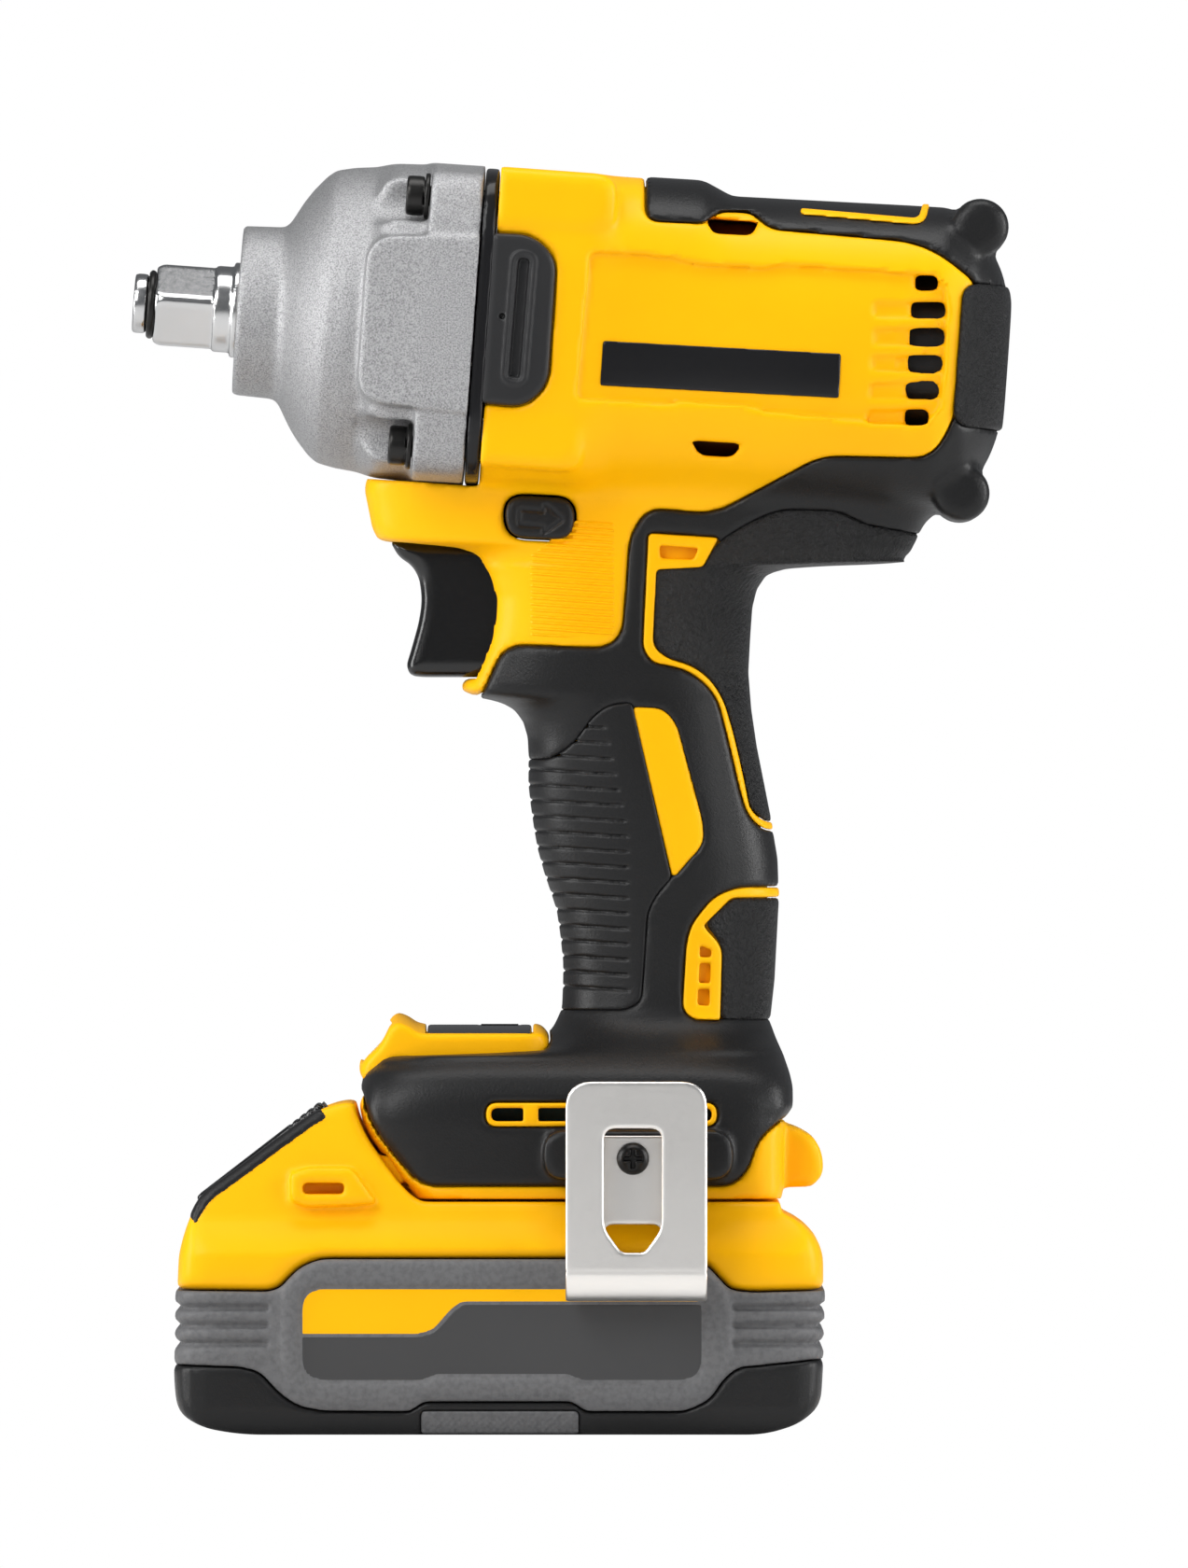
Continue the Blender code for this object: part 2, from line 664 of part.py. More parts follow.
def head_form(inset):
    """Gear case and motor barrel as one lofted solid in the head's frame."""
    stations = [
        (HOUSING_START, 0, 0, 0, 5), (22, 0, 0, 0, 4.6), (29, -0.6, 0, 0, 3.2), (45, -1.2, 0.2, 0, 2.8),
        (50, -1.5, -2.6, 0, 2.7), (86, -2.5, -1.9, 0, 2.7), (94, -4, -1.8, -0.8, 2.7), (100, -7, -5.4, -3.8, 2.7),
        (104, -11.5, -11.4, -10.3, 2.7), (HEAD_BACK, -16, -17.2, -17.4, 2.7),
    ]
    rings = []
    for place, wider, higher, lower, power in stations:
        half_width = HEAD_HALF_WIDTH + wider - inset
        top = HEAD_TOP + higher - inset
        bottom = HEAD_BOTTOM + lower - inset
        if place == HEAD_BACK:
            place -= inset
        ring = []
        for index in range(HEAD_POINTS):
            angle = 2 * math.pi * index / HEAD_POINTS
            across = math.copysign(abs(math.cos(angle)) ** (2 / power), math.cos(angle))
            up = math.copysign(abs(math.sin(angle)) ** (2 / power), math.sin(angle))
            ring.append((place, half_width * across, up * (top if up > 0 else bottom)))
        rings.append(ring)
    return loft(rings, head)


def rear_lugs():
    """Rubber knobs at the upper and lower back corners of the head."""
    half_length = 0.6 * HEAD_HALF_WIDTH
    knobs = []
    for height in (HEAD_TOP - 5.4, 5.4 - HEAD_BOTTOM):
        outline = circle(5.3, 14, (HEAD_BACK - 6.4, height))
        knobs.append(prism_y(outline, -half_length, half_length, head))
    return knobs


def tool_form(inset):
    """Whole outer form of the tool, moved in by an inset."""
    form = join(body_form(inset), head_form(inset))
    if inset <= 0:
        ear_half_width = 0.6 * FOOT_HALF_WIDTH
        join(form, *rear_lugs(), prism_y(tool_outline(EAR_AREA), -ear_half_width, ear_half_width))
    return form


def left_prism(outline):
    """Outline extruded through the tool's left half."""
    return prism_y(outline, -FAR, -HALF_GAP)


def skin_piece(area, proud, depth):
    """Left piece of skin over an area, from a height above the form down to a depth."""
    form = keep(left_prism(tool_outline(area)), copy(FORMS[-proud]))
    return cut(form, copy(FORMS[depth]))


def skin_recess(area, depth, grow=CLEAR):
    """Cutter that lowers an area of the left side to a depth."""
    return cut(left_prism(tool_outline(area, grow)), copy(FORMS[depth]))


FORMS = {}
for level in (0, -PAD_PROUD, PANEL_DEPTH, PAD_SKIN, PAD_SKIN + CLEAR, SKIN, SKIN_FLOOR):
    FORMS[level] = tool_form(level)


def nose_screw_places():
    """Positions of the four nose screws across the head."""
    across = HEAD_HALF_WIDTH - NOSE_SCREW_INSET
    return [(side * across, up * NOSE_SCREW_HEIGHT) for side in (-1, 1) for up in (1, -1)]


def build_nose():
    """Cast hammer case with its square flange, side pads and screw holes."""
    front = -NOSE_LENGTH
    shoulder = front + COLLAR_LENGTH
    outer = [
        (front, COLLAR_RADIUS - 2), (front + 1.6, COLLAR_RADIUS - 0.2), (shoulder, COLLAR_RADIUS),
        (shoulder + 1.5, COLLAR_RADIUS + 1), (shoulder + 3.4, COLLAR_RADIUS + 5), (shoulder + 5.2, NOSE_RADIUS - 6.7),
        (shoulder + 7, NOSE_RADIUS - 4.3), (shoulder + 9.4, NOSE_RADIUS - 2.6), (shoulder + 13.5, NOSE_RADIUS - 1.6),
        (shoulder + 21, NOSE_RADIUS - 0.8), (0, NOSE_RADIUS),
    ]
    nose = turned([(front, 0), *outer, (0, 0)], head)
    flange = rectangle(-HEAD_HALF_WIDTH, -FLANGE_HALF_HEIGHT, HEAD_HALF_WIDTH, FLANGE_HALF_HEIGHT, FLANGE_CORNER)
    join(nose, prism_x(flange, -FLANGE_LENGTH, 0, head))
    pad = rounded([(-SIDE_PAD_LENGTH, -17.5, 8), (0, -17.5), (0, 19.5), (-SIDE_PAD_LENGTH, 19.5, 8)])
    pad_side = HEAD_HALF_WIDTH + SIDE_PAD_PROUD
    join(nose, prism_y(pad, -pad_side, pad_side, head))
    bore = ANVIL_RADIUS + BUSHING_WALL + 2 * CLEAR
    seat = front + BUSHING_LENGTH + 1
    chamber = [
        (front - 5, 0), (front - 5, bore), (seat, bore), (seat, WING_RADIUS + 1), (seat + 4, CHAMBER_RADIUS - 2.5),
        (seat + 10, CHAMBER_RADIUS), (5, CHAMBER_RADIUS), (5, 0),
    ]
    cut(nose, turned(chamber, head))
    for side, up in nose_screw_places():
        cut(nose, move(rod(-FLANGE_LENGTH - 5, 5, SCREW_RADIUS + CLEAR, head, 12), y=side, z=up))
        head_room = rod(-NOSE_LENGTH, -FLANGE_LENGTH, WASHER_RADIUS + CLEAR, head, 16)
        cut(nose, move(head_room, y=side, z=up))
    name_part(nose, "nose_housing", CAST)


def build_spacer():
    """Black spacer between the hammer case and the clamshell."""
    outline = rectangle(-HEAD_HALF_WIDTH, -HEAD_BOTTOM, HEAD_HALF_WIDTH, HEAD_TOP, FLANGE_CORNER)
    spacer = prism_x(outline, CLEAR, CLEAR + SPACER_LENGTH, head)
    cut(spacer, rod(-5, 15, CHAMBER_RADIUS, head, SEGMENTS))
    for side, up in nose_screw_places():
        cut(spacer, move(rod(-5, 15, SCREW_RADIUS + CLEAR, head, 12), y=side, z=up))
    name_part(spacer, "gearcase_spacer", GLOSS_BLACK)


def build_nose_screws():
    """Four pan-head screws with washers, along the head's axis."""
    seat = -FLANGE_LENGTH - CLEAR
    washer = seat - WASHER_THICKNESS
    top = washer - SCREW_HEAD_HEIGHT
    profile = [
        (top, 0), (top, SCREW_HEAD_RADIUS - 1.4), (top + 1, SCREW_HEAD_RADIUS - 0.2), (washer, SCREW_HEAD_RADIUS),
        (washer, WASHER_RADIUS), (seat, WASHER_RADIUS), (seat, SCREW_RADIUS),
        (seat + NOSE_SCREW_LENGTH, SCREW_RADIUS), (seat + NOSE_SCREW_LENGTH, 0),
    ]
    for number, (side, up) in enumerate(nose_screw_places(), 1):
        screw = turned(profile, head, 16)
        cut(screw, prism_x(circle(2, 6), top - 1, top + 2, head))
        name_part(move(screw, y=side, z=up), f"nose_screw_{number}", DARK_STEEL)


def rear_vents():
    """Cutters for the vents beside the fan, on the left of the head."""
    depth = -MOTOR_BORE + 5
    cutters = []
    for row in range(6):
        middle = 14.4 - 5.4 * row
        end = 92.4 if row in (0, 5) else 94.4
        outline = rectangle(82, middle - 1.45, end, middle + 1.45, 1.2)
        cutters.append(prism_y(outline, -FAR, depth, head))
    for low, high in ((21.9, 24.5), (-22.5, -19.9)):
        outline = rectangle(45.6, low, 55.4, high, 1)
        cutters.append(prism_y(outline, -FAR, -12, head))
    return cutters


def motor_bore():
    """Cutter for the gear set, motor and rear bearing."""
    end = FAN_START + FAN_WIDTH + 1.5
    seat = BEARING_RADIUS + CLEAR
    profile = [
        (-5, 0), (-5, MOTOR_BORE), (end, MOTOR_BORE), (end, seat), (REAR_BEARING_START + BEARING_WIDTH + CLEAR, seat),
        (REAR_BEARING_START + BEARING_WIDTH + CLEAR, 0),
    ]
    return turned(profile, head)


def handle_cavity():
    """Cutter for the inside of the grip."""
    rings = []
    for height in (71, 78, 84, 96, 112, 130, 150, 172):
        front = between(FRONT_PROFILE, height) + HOUSING_WALL
        rear = between(REAR_PROFILE, height) - HOUSING_WALL
        front = max(front, 17)
        rings.append(body_ring(height, front, rear, HANDLE_HALF_WIDTH - HOUSING_WALL - 0.5))
    return loft(rings)


def rail_outline(grow):
    """Battery rail seen along X: a neck and a wider head above it."""
    seam = BATTERY_HEIGHT
    neck = RAIL_NECK_HALF_WIDTH + grow
    wide = RAIL_HALF_WIDTH + grow
    low = seam + RAIL_LIP - grow
    high = seam + RAIL_LIP + RAIL_THICKNESS + grow
    right = [(neck, seam - 5), (neck, low), (wide, low), (wide, high)]
    left = [(-y, z) for y, z in reversed(right)]
    return [Vector(corner) for corner in right + left]


def terminal_floor():
    """Height of the terminal block's underside, which lies just above the battery rail."""
    return BATTERY_HEIGHT + RAIL_LIP + RAIL_THICKNESS + TERMINAL_GAP


def button_outline(grow):
    """Rounded outline of the direction button."""
    x, height = DIRECTION_BUTTON_PLACE
    low_x = x - BUTTON_LENGTH / 2 - grow
    high_x = x + BUTTON_LENGTH / 2 + grow
    low_z = rise(height) - BUTTON_HEIGHT / 2 - grow
    high_z = rise(height) + BUTTON_HEIGHT / 2 + grow
    return rectangle(low_x, low_z, high_x, high_z, BUTTON_HEIGHT / 2 - 0.1 + grow)


CASE_SCREW_PLACES = [(-19, 187.5), (56, 186), (52.4, 66)]


def housing_half():
    """Left half of the yellow clamshell, hollow and lowered where the black skin lies."""
    half = keep(copy(FORMS[0]), box((-FAR, -FAR, -FAR), (FAR, -HALF_GAP, 3 * FAR)))
    nose_floor = max(FLANGE_HALF_HEIGHT, NOSE_RADIUS) + CLEAR
    cut(half, box((-FAR, -FAR, -nose_floor), (HOUSING_START, FAR, FAR), head))
    black = skin_recess(BLACK_AREA, SKIN_FLOOR)
    for area in (UPPER_RIBBON, LOWER_RIBBON, FOOT_VENT_AREA):
        cut(black, left_prism(tool_outline(area)))
    cut(half, black)
    panel = [(21.7, -13.2, 3), (21.7, 16, 3), (93.2, 16, 6), (93.2, -13.2, 6)]
    panel_cutter = cut(prism_y(rounded(panel), -FAR, -10, head), copy(FORMS[PANEL_DEPTH]))
    cut(half, panel_cutter)
    inner_half_width = HANDLE_HALF_WIDTH - HOUSING_WALL
    cut(half, motor_bore(), handle_cavity())
    cut(half, prism_y(tool_outline(UPPER_CAVITY), -inner_half_width, FAR))
    cut(half, prism_y(tool_outline(SWITCH_AREA, CLEAR), -inner_half_width, FAR))
    cut(half, skin_recess(REAR_PAD_AREA, PAD_SKIN + CLEAR))
    cut(half, prism_y(tool_outline(BEZEL_AREA, CLEAR), -BEZEL_HALF_WIDTH - CLEAR, FAR))
    cut(half, prism_y(tool_outline(FOOT_CAVITY), -FOOT_HALF_WIDTH + FOOT_WALL, FAR))
    cut(half, prism_x(rail_outline(CLEAR), -FAR, RAIL_BACK + 1))
    low = terminal_floor()
    reach = TERMINAL_HALF_WIDTH + TERMINAL_SLACK
    terminal_start = (TERMINAL_FRONT - TERMINAL_SLACK, -reach, low - 2)
    cut(half, box(terminal_start, (TERMINAL_REAR + TERMINAL_SLACK, FAR, low + 4)))
    cut(half, prism_y(tool_outline(TRIGGER_SLOT), -TRIGGER_HALF_WIDTH - 0.4, FAR))
    cut(half, prism_y(button_outline(CLEAR), -FAR, FAR))
    cut(half, prism_y(tool_outline(FOOT_VENT_SLOT), -FAR, -20))
    cut(half, *rear_vents())
    cut(half, prism_y(side_plate_outline(CLEAR), -FAR, -SIDE_PLATE_FLOOR, head))
    return half


SIDE_PLATE_FLOOR = HEAD_HALF_WIDTH - 1.6
SIDE_PLATE_TOP = HEAD_HALF_WIDTH + 0.5


def side_plate_outline(grow):
    """Outline of the grey plate beside the gear case, in the head's frame."""
    start = HOUSING_START + 2
    corners = [(start, -15.6, 1), (start, 19, 1), (16, 19, 5), (15.8, -15.6, 5)]
    return grown(rounded(corners), grow)


def screw_hole(place, depth):
    """Cutter for a housing screw that is driven in from the right side."""
    x, height = place
    seat = case_screw_seat(height)
    hole = rod(seat - 1, FAR, SCREW_HEAD_RADIUS - 1 + CLEAR, None, 14)
    join(hole, rod(-depth, seat, 1.5 + CLEAR, None, 12))
    return along_y(hole, x, rise(height))


def case_screw_seat(height):
    """Distance of a housing screw's head from the middle plane."""
    return HANDLE_HALF_WIDTH - 5 if height > 100 else FOOT_HALF_WIDTH - 8


def along_y(form, x, z):
    """Turn a form made along X to lie along Y, at a place on the tool's side."""
    bm = bmesh.new()
    bm.from_mesh(form.data)
    for vert in bm.verts:
        vert.co = Vector((-vert.co.y + x, vert.co.x, vert.co.z + z))
    bm.to_mesh(form.data)
    bm.free()
    return form


def build_housing():
    """Both clamshell halves."""
    left = housing_half()
    right = mirrored(left)
    for frame_side, half in ((-1, left), (1, right)):
        for side, up in nose_screw_places():
            if side * frame_side > 0:
                hole = rod(-5, NOSE_SCREW_LENGTH - FLANGE_LENGTH + 1, SCREW_RADIUS + CLEAR, head, 12)
                cut(half, move(hole, y=side, z=up))
    for place in CASE_SCREW_PLACES:
        cut(left, screw_hole(place, 10))
        cut(right, screw_hole(place, 10))
    hook_hole = rod(-BATTERY_HALF_WIDTH - 5, HOOK_SCREW_TIP, SCREW_RADIUS + CLEAR, None, 12)
    cut(left, along_y(hook_hole, HOOK_SCREW_X, rise(HOOK_SCREW_Z)))
    name_part(left, "housing_left", YELLOW)
    name_part(right, "housing_right", YELLOW)


def build_case_screws():
    """Screws that hold the clamshell halves together."""
    for number, (x, height) in enumerate(CASE_SCREW_PLACES, 1):
        seat = case_screw_seat(height) - 1 + CLEAR
        top = seat + 2.5
        profile = [(-9, 0), (-9, 1.5), (seat, 1.5), (seat, 3), (top, 2.8), (top, 0)]
        screw = turned(profile, None, 12)
        cut(screw, prism_x(circle(1.4, 6), top - 1.2, top + 1))
        name_part(along_y(screw, x, rise(height)), f"case_screw_{number}", DARK_STEEL)


def build_overmould():
    """Black soft skins over the back, grip and foot, with the boss behind the belt hook."""
    left = skin_piece(BLACK_AREA, 0, SKIN)
    for area in (FINGER_AREA, BADGE_AREA, PALM_AREA, HEEL_AREA, UPPER_RIBBON, LOWER_RIBBON, FOOT_VENT_AREA):
        cut(left, left_prism(tool_outline(area, CLEAR)))
    cut(left, skin_recess(REAR_PAD_AREA, PAD_SKIN + CLEAR))
    boss = prism_y(tool_outline(HOOK_BOSS_AREA), -HOOK_FACE, -FOOT_HALF_WIDTH + 1)
    join(left, boss)
    cut(left, prism_x(rail_outline(CLEAR), -FAR, RAIL_BACK + 1))
    cut(left, prism_y(tool_outline(BEZEL_AREA, CLEAR), -BEZEL_HALF_WIDTH - CLEAR, FAR))
    main_body(left)
    simplify(left)
    right = mirrored(left)
    hook_hole = rod(-BATTERY_HALF_WIDTH - 5, HOOK_SCREW_TIP, SCREW_RADIUS + CLEAR, None, 12)
    cut(left, along_y(hook_hole, HOOK_SCREW_X, rise(HOOK_SCREW_Z)))
    for place in CASE_SCREW_PLACES:
        cut(right, screw_hole(place, 10))
    name_part(main_body(left), "overmould_left", BLACK)
    name_part(main_body(right), "overmould_right", BLACK)


def build_pads():
    """Grip pads, badges and rear pads on both sides."""
    pieces = [
        ("finger_pad", FINGER_AREA, PAD_GREY), ("grip_badge", BADGE_AREA, YELLOW), ("palm_pad", PALM_AREA, PAD_GREY),
        ("heel_pad", HEEL_AREA, PAD_GREY),
    ]
    for name, area, finish in pieces:
        left = main_body(skin_piece(area, 0, SKIN))
        right = mirrored(left)
        if name == "palm_pad":
            for place in CASE_SCREW_PLACES:
                cut(right, screw_hole(place, 10))
        name_part(left, f"{name}_left", finish)
        name_part(right, f"{name}_right", finish)
    pad = skin_piece(REAR_PAD_AREA, PAD_PROUD, PAD_SKIN)
    name_part(mirrored(pad), "rear_pad_right", PAD_GREY)
    name_part(pad, "rear_pad_left", PAD_GREY)


def build_side_plates():
    """Grey plates beside the gear case, each with its slot."""
    plate = prism_y(side_plate_outline(0), -SIDE_PLATE_TOP, -SIDE_PLATE_FLOOR - CLEAR, head)
    cut(plate, prism_y(rectangle(7.9, -10.2, 10.1, 14, 1), -FAR, -SIDE_PLATE_TOP + 1, head))
    name_part(mirrored(plate), "side_plate_right", PLATE_GREY)
    name_part(plate, "side_plate_left", PLATE_GREY)


# Places along the head's axis that follow from the sizes
ANVIL_FRONT = -NOSE_LENGTH - NECK_LENGTH - DRIVE_LENGTH - RING_GROOVE_LENGTH - TIP_LENGTH
BUSHING_START = -NOSE_LENGTH + 0.5
WING_START = BUSHING_START + BUSHING_LENGTH + CLEAR + 1
WING_END = WING_START + WING_LENGTH
HAMMER_START = WING_END + CLEAR
HAMMER_END = HAMMER_START + HAMMER_LENGTH
CARRIER_START = HAMMER_END + HAMMER_STROKE + 1
CARRIER_END = CARRIER_START + CARRIER_PLATE
GEAR_START = CARRIER_END + CLEAR
GEAR_END = GEAR_START + GEAR_FACE
BRACKET_START = GEAR_END + 1
FRONT_BEARING_START = BRACKET_START + BRACKET_THICKNESS + CLEAR
STATOR_START = FRONT_BEARING_START + BEARING_WIDTH + 3
STATOR_END = STATOR_START + STATOR_LENGTH
ROTOR_START = STATOR_START + (STATOR_LENGTH - ROTOR_LENGTH) / 2
FAN_START = STATOR_END + 3
REAR_BEARING_START = FAN_START + FAN_WIDTH + 2
SUN_RADIUS = GEAR_MODULE * SUN_TEETH / 2
PLANET_RADIUS = GEAR_MODULE * PLANET_TEETH / 2
RING_RADIUS_PITCH = GEAR_MODULE * RING_TEETH / 2
PLANET_ORBIT = SUN_RADIUS + PLANET_RADIUS
BALL_PLACE = HAMMER_END - 9
SPRING_SEAT = HAMMER_END - 11
HOOK_FACE = BATTERY_HALF_WIDTH + 0.6


def build_anvil():
    """Square-drive anvil with its wings, and the hog ring in its groove."""
    tip = ANVIL_FRONT + TIP_LENGTH
    groove = tip + RING_GROOVE_LENGTH
    square_end = groove + DRIVE_LENGTH
    body = [
        (ANVIL_FRONT, 0), (ANVIL_FRONT, TIP_RADIUS - 0.8), (ANVIL_FRONT + 0.8, TIP_RADIUS), (tip, TIP_RADIUS),
        (tip, RING_GROOVE_RADIUS), (groove + 0.5, RING_GROOVE_RADIUS), (groove + 0.5, 0),
    ]
    anvil = turned(body, head, FINE_SEGMENTS)
    half = DRIVE_SQUARE / 2
    square = prism_x(rectangle(-half, -half, half, half, 1), groove, square_end, head)
    join(anvil, move(square, turn=math.radians(DRIVE_TURN)))
    join(anvil, rod(square_end - 0.2, WING_START + 1, ANVIL_RADIUS, head, 28))
    wings = rectangle(-WING_HALF_WIDTH, -WING_RADIUS, WING_HALF_WIDTH, WING_RADIUS, 2)
    join(anvil, prism_x(wings, WING_START, WING_END, head), rod(WING_START, WING_END, ANVIL_RADIUS + 3, head, 28))
    pilot = rod(WING_END - PILOT_LENGTH - 1, WING_END + 5, PILOT_RADIUS + CLEAR, head, 16)
    cut(anvil, pilot)
    name_part(anvil, "anvil", STEEL)
    ring = [
        (tip + CLEAR, RING_GROOVE_RADIUS + CLEAR), (groove - CLEAR, RING_GROOVE_RADIUS + CLEAR),
        (groove - CLEAR, RING_RADIUS - 0.5), (groove - CLEAR - 0.4, RING_RADIUS),
        (tip + CLEAR + 0.4, RING_RADIUS), (tip + CLEAR, RING_RADIUS - 0.5),
    ]
    name_part(turned(ring, head, 24, ring=True), "hog_ring", DARK_STEEL)


def build_bushing():
    """Bronze bushing in which the anvil turns."""
    inner = ANVIL_RADIUS + CLEAR
    bushing = tube(BUSHING_START, BUSHING_START + BUSHING_LENGTH, inner, inner + BUSHING_WALL, head, 28)
    name_part(bushing, "anvil_bushing", BRONZE)


def sector(inner, outer, middle, spread, steps=5):
    """Ring sector as an outline in Y and Z; angles in degrees."""
    angles = [math.radians(middle - spread / 2 + spread * step / steps) for step in range(steps + 1)]
    outside = [Vector((outer * math.cos(a), outer * math.sin(a))) for a in angles]
    inside = [Vector((inner * math.cos(a), inner * math.sin(a))) for a in reversed(angles)]
    return outside + inside


def ball_places():
    """Directions of the two cam balls, across the head."""
    return [math.radians(angle) for angle in (0, 180)]


def build_hammer():
    """Hammer with two lugs, a spring pocket and ball pockets, and its spring."""
    profile = [
        (HAMMER_START, CAM_RADIUS + CLEAR), (HAMMER_END, CAM_RADIUS + CLEAR), (HAMMER_END, CAM_RADIUS + 5),
        (SPRING_SEAT, CAM_RADIUS + 5), (SPRING_SEAT, SPRING_RADIUS + 3.5), (HAMMER_END, SPRING_RADIUS + 3.5),
        (HAMMER_END, HAMMER_RADIUS - 1), (HAMMER_END - 1, HAMMER_RADIUS), (HAMMER_START + 1, HAMMER_RADIUS),
        (HAMMER_START, HAMMER_RADIUS - 1),
    ]
    hammer = turned(profile, head, SEGMENTS, ring=True)
    lug_front = HAMMER_START - WING_LENGTH + 0.5
    for middle in (0, 180):
        lug = sector(ANVIL_RADIUS + 4, WING_RADIUS - 0.5, middle, LUG_ANGLE)
        join(hammer, prism_x(lug, lug_front, HAMMER_START + 1, head))
    room = BALL_RADIUS + CLEAR
    for angle in ball_places():
        pocket = rod(BALL_PLACE - room - HAMMER_STROKE, BALL_PLACE + room, room, head, 12)
        cut(hammer, move(pocket, y=CAM_RADIUS * math.cos(angle), z=CAM_RADIUS * math.sin(angle)))
    name_part(hammer, "hammer", STEEL)
    start = SPRING_SEAT + CLEAR + SPRING_WIRE
    end = CARRIER_START - CLEAR - SPRING_WIRE
    spring = coil(start, end, SPRING_RADIUS, SPRING_WIRE, SPRING_TURNS, head)
    name_part(spring, "hammer_spring", STEEL)


def coil(start, end, radius, wire, turns, parent):
    """Round-wire compression spring along X."""
    curve = bpy.data.curves.new("coil", "CURVE")
    curve.dimensions = "3D"
    curve.bevel_depth = wire
    curve.bevel_resolution = 1
    curve.use_fill_caps = True
    spline = curve.splines.new("POLY")
    count = int(turns * 8) + 1
    spline.points.add(count - 1)
    for index, point in enumerate(spline.points):
        share = index / (count - 1)
        angle = 2 * math.pi * turns * share
        place = (start + (end - start) * share, radius * math.cos(angle), radius * math.sin(angle))
        point.co = (*place, 1)
    form = bpy.data.objects.new("coil", curve)
    form.parent = parent
    bpy.context.collection.objects.link(form)
    graph = bpy.context.evaluated_depsgraph_get()
    mesh = bpy.data.meshes.new_from_object(form.evaluated_get(graph))
    bpy.data.objects.remove(form)
    bm = bmesh.new()
    bm.from_mesh(mesh)
    bmesh.ops.remove_doubles(bm, verts=bm.verts, dist=wire / 100)
    bm.to_mesh(mesh)
    bm.free()
    solid = bpy.data.objects.new("coil", mesh)
    solid.parent = parent
    bpy.context.collection.objects.link(solid)
    return solid


def planet_angles():
    """Directions of the planet gears around the head's axis."""
    return [2 * math.pi * index / PLANET_COUNT for index in range(PLANET_COUNT)]


def build_cam_carrier():
    """Cam shaft with its ball grooves, planet plate and pins, and the two cam balls."""
    shaft_start = HAMMER_START - 1 + CLEAR
    profile = [
        (WING_END - PILOT_LENGTH, 0), (WING_END - PILOT_LENGTH, PILOT_RADIUS), (shaft_start + 0.5, PILOT_RADIUS),
        (shaft_start + 0.5, CAM_RADIUS), (CARRIER_START, CAM_RADIUS), (CARRIER_START, CARRIER_RADIUS),
        (CARRIER_END, CARRIER_RADIUS), (CARRIER_END, 0),
    ]
    carrier = turned(profile, head, 28)
    for angle in planet_angles():
        pin = rod(CARRIER_END - 0.5, GEAR_END, PIN_RADIUS, head, 12)
        join(carrier, move(pin, y=PLANET_ORBIT * math.cos(angle), z=PLANET_ORBIT * math.sin(angle)))
    room = BALL_RADIUS + CLEAR
    for number, angle in enumerate(ball_places(), 1):
        y = CAM_RADIUS * math.cos(angle)
        z = CAM_RADIUS * math.sin(angle)
        cut(carrier, move(rod(BALL_PLACE - room, BALL_PLACE + room, room, head, 12), y=y, z=z))
        arc = [math.pi * step / 6 for step in range(7)]
        profile = [(BALL_PLACE - BALL_RADIUS * math.cos(a), BALL_RADIUS * math.sin(a)) for a in arc[1:-1]]
        profile = [(BALL_PLACE - BALL_RADIUS, 0), *profile, (BALL_PLACE + BALL_RADIUS, 0)]
        name_part(move(turned(profile, head, 12), y=y, z=z), f"cam_ball_{number}", STEEL)
    name_part(carrier, "cam_carrier", STEEL)


def gear_outline(teeth, tip, root, thickness, phase):
    """Involute gear outline; tip and root are radii and thickness is the tooth's width at the pitch circle."""
    pitch = GEAR_MODULE * teeth / 2
    base = pitch * math.cos(math.radians(PRESSURE_ANGLE))

    def half_angle(radius):
        roll = math.acos(min(base / radius, 1))
        pitch_roll = math.radians(PRESSURE_ANGLE)
        return thickness / (2 * pitch) + (math.tan(pitch_roll) - pitch_roll) - (math.tan(roll) - roll)

    radii = [max(root, base), tip]
    points = []
    for tooth in range(teeth):
        middle = phase + 2 * math.pi * tooth / teeth
        flank = [(radius, half_angle(radius)) for radius in radii]
        if root < base:
            flank.insert(0, (root, half_angle(base)))
        for radius, angle in flank:
            points.append(Vector((radius * math.cos(middle - angle), radius * math.sin(middle - angle))))
        for radius, angle in reversed(flank):
            points.append(Vector((radius * math.cos(middle + angle), radius * math.sin(middle + angle))))
    return points


def build_gears():
    """Planet gears and the fixed ring gear around them."""
    tooth = math.pi * GEAR_MODULE / 2
    planet_tip = PLANET_RADIUS + ADDENDUM * GEAR_MODULE
    planet_root = PLANET_RADIUS - DEDENDUM * GEAR_MODULE
    for number, angle in enumerate(planet_angles(), 1):
        outline = gear_outline(PLANET_TEETH, planet_tip, planet_root, tooth - BACKLASH, angle)
        gear = prism_x(outline, GEAR_START, GEAR_END, head)
        cut(gear, rod(GEAR_START - 1, GEAR_END + 1, PIN_RADIUS + CLEAR, head, 14))
        y = PLANET_ORBIT * math.cos(angle)
        z = PLANET_ORBIT * math.sin(angle)
        name_part(move(gear, y=y, z=z), f"planet_gear_{number}", STEEL)
    inner_tip = RING_RADIUS_PITCH + DEDENDUM * GEAR_MODULE
    inner_root = RING_RADIUS_PITCH - ADDENDUM * GEAR_MODULE
    outline = gear_outline(RING_TEETH, inner_tip, inner_root, tooth + BACKLASH, 0)
    ring = rod(GEAR_START, GEAR_END, MOTOR_BORE - CLEAR, head, SEGMENTS)
    cut(ring, prism_x(outline, GEAR_START - 1, GEAR_END + 1, head))
    name_part(ring, "ring_gear", STEEL)


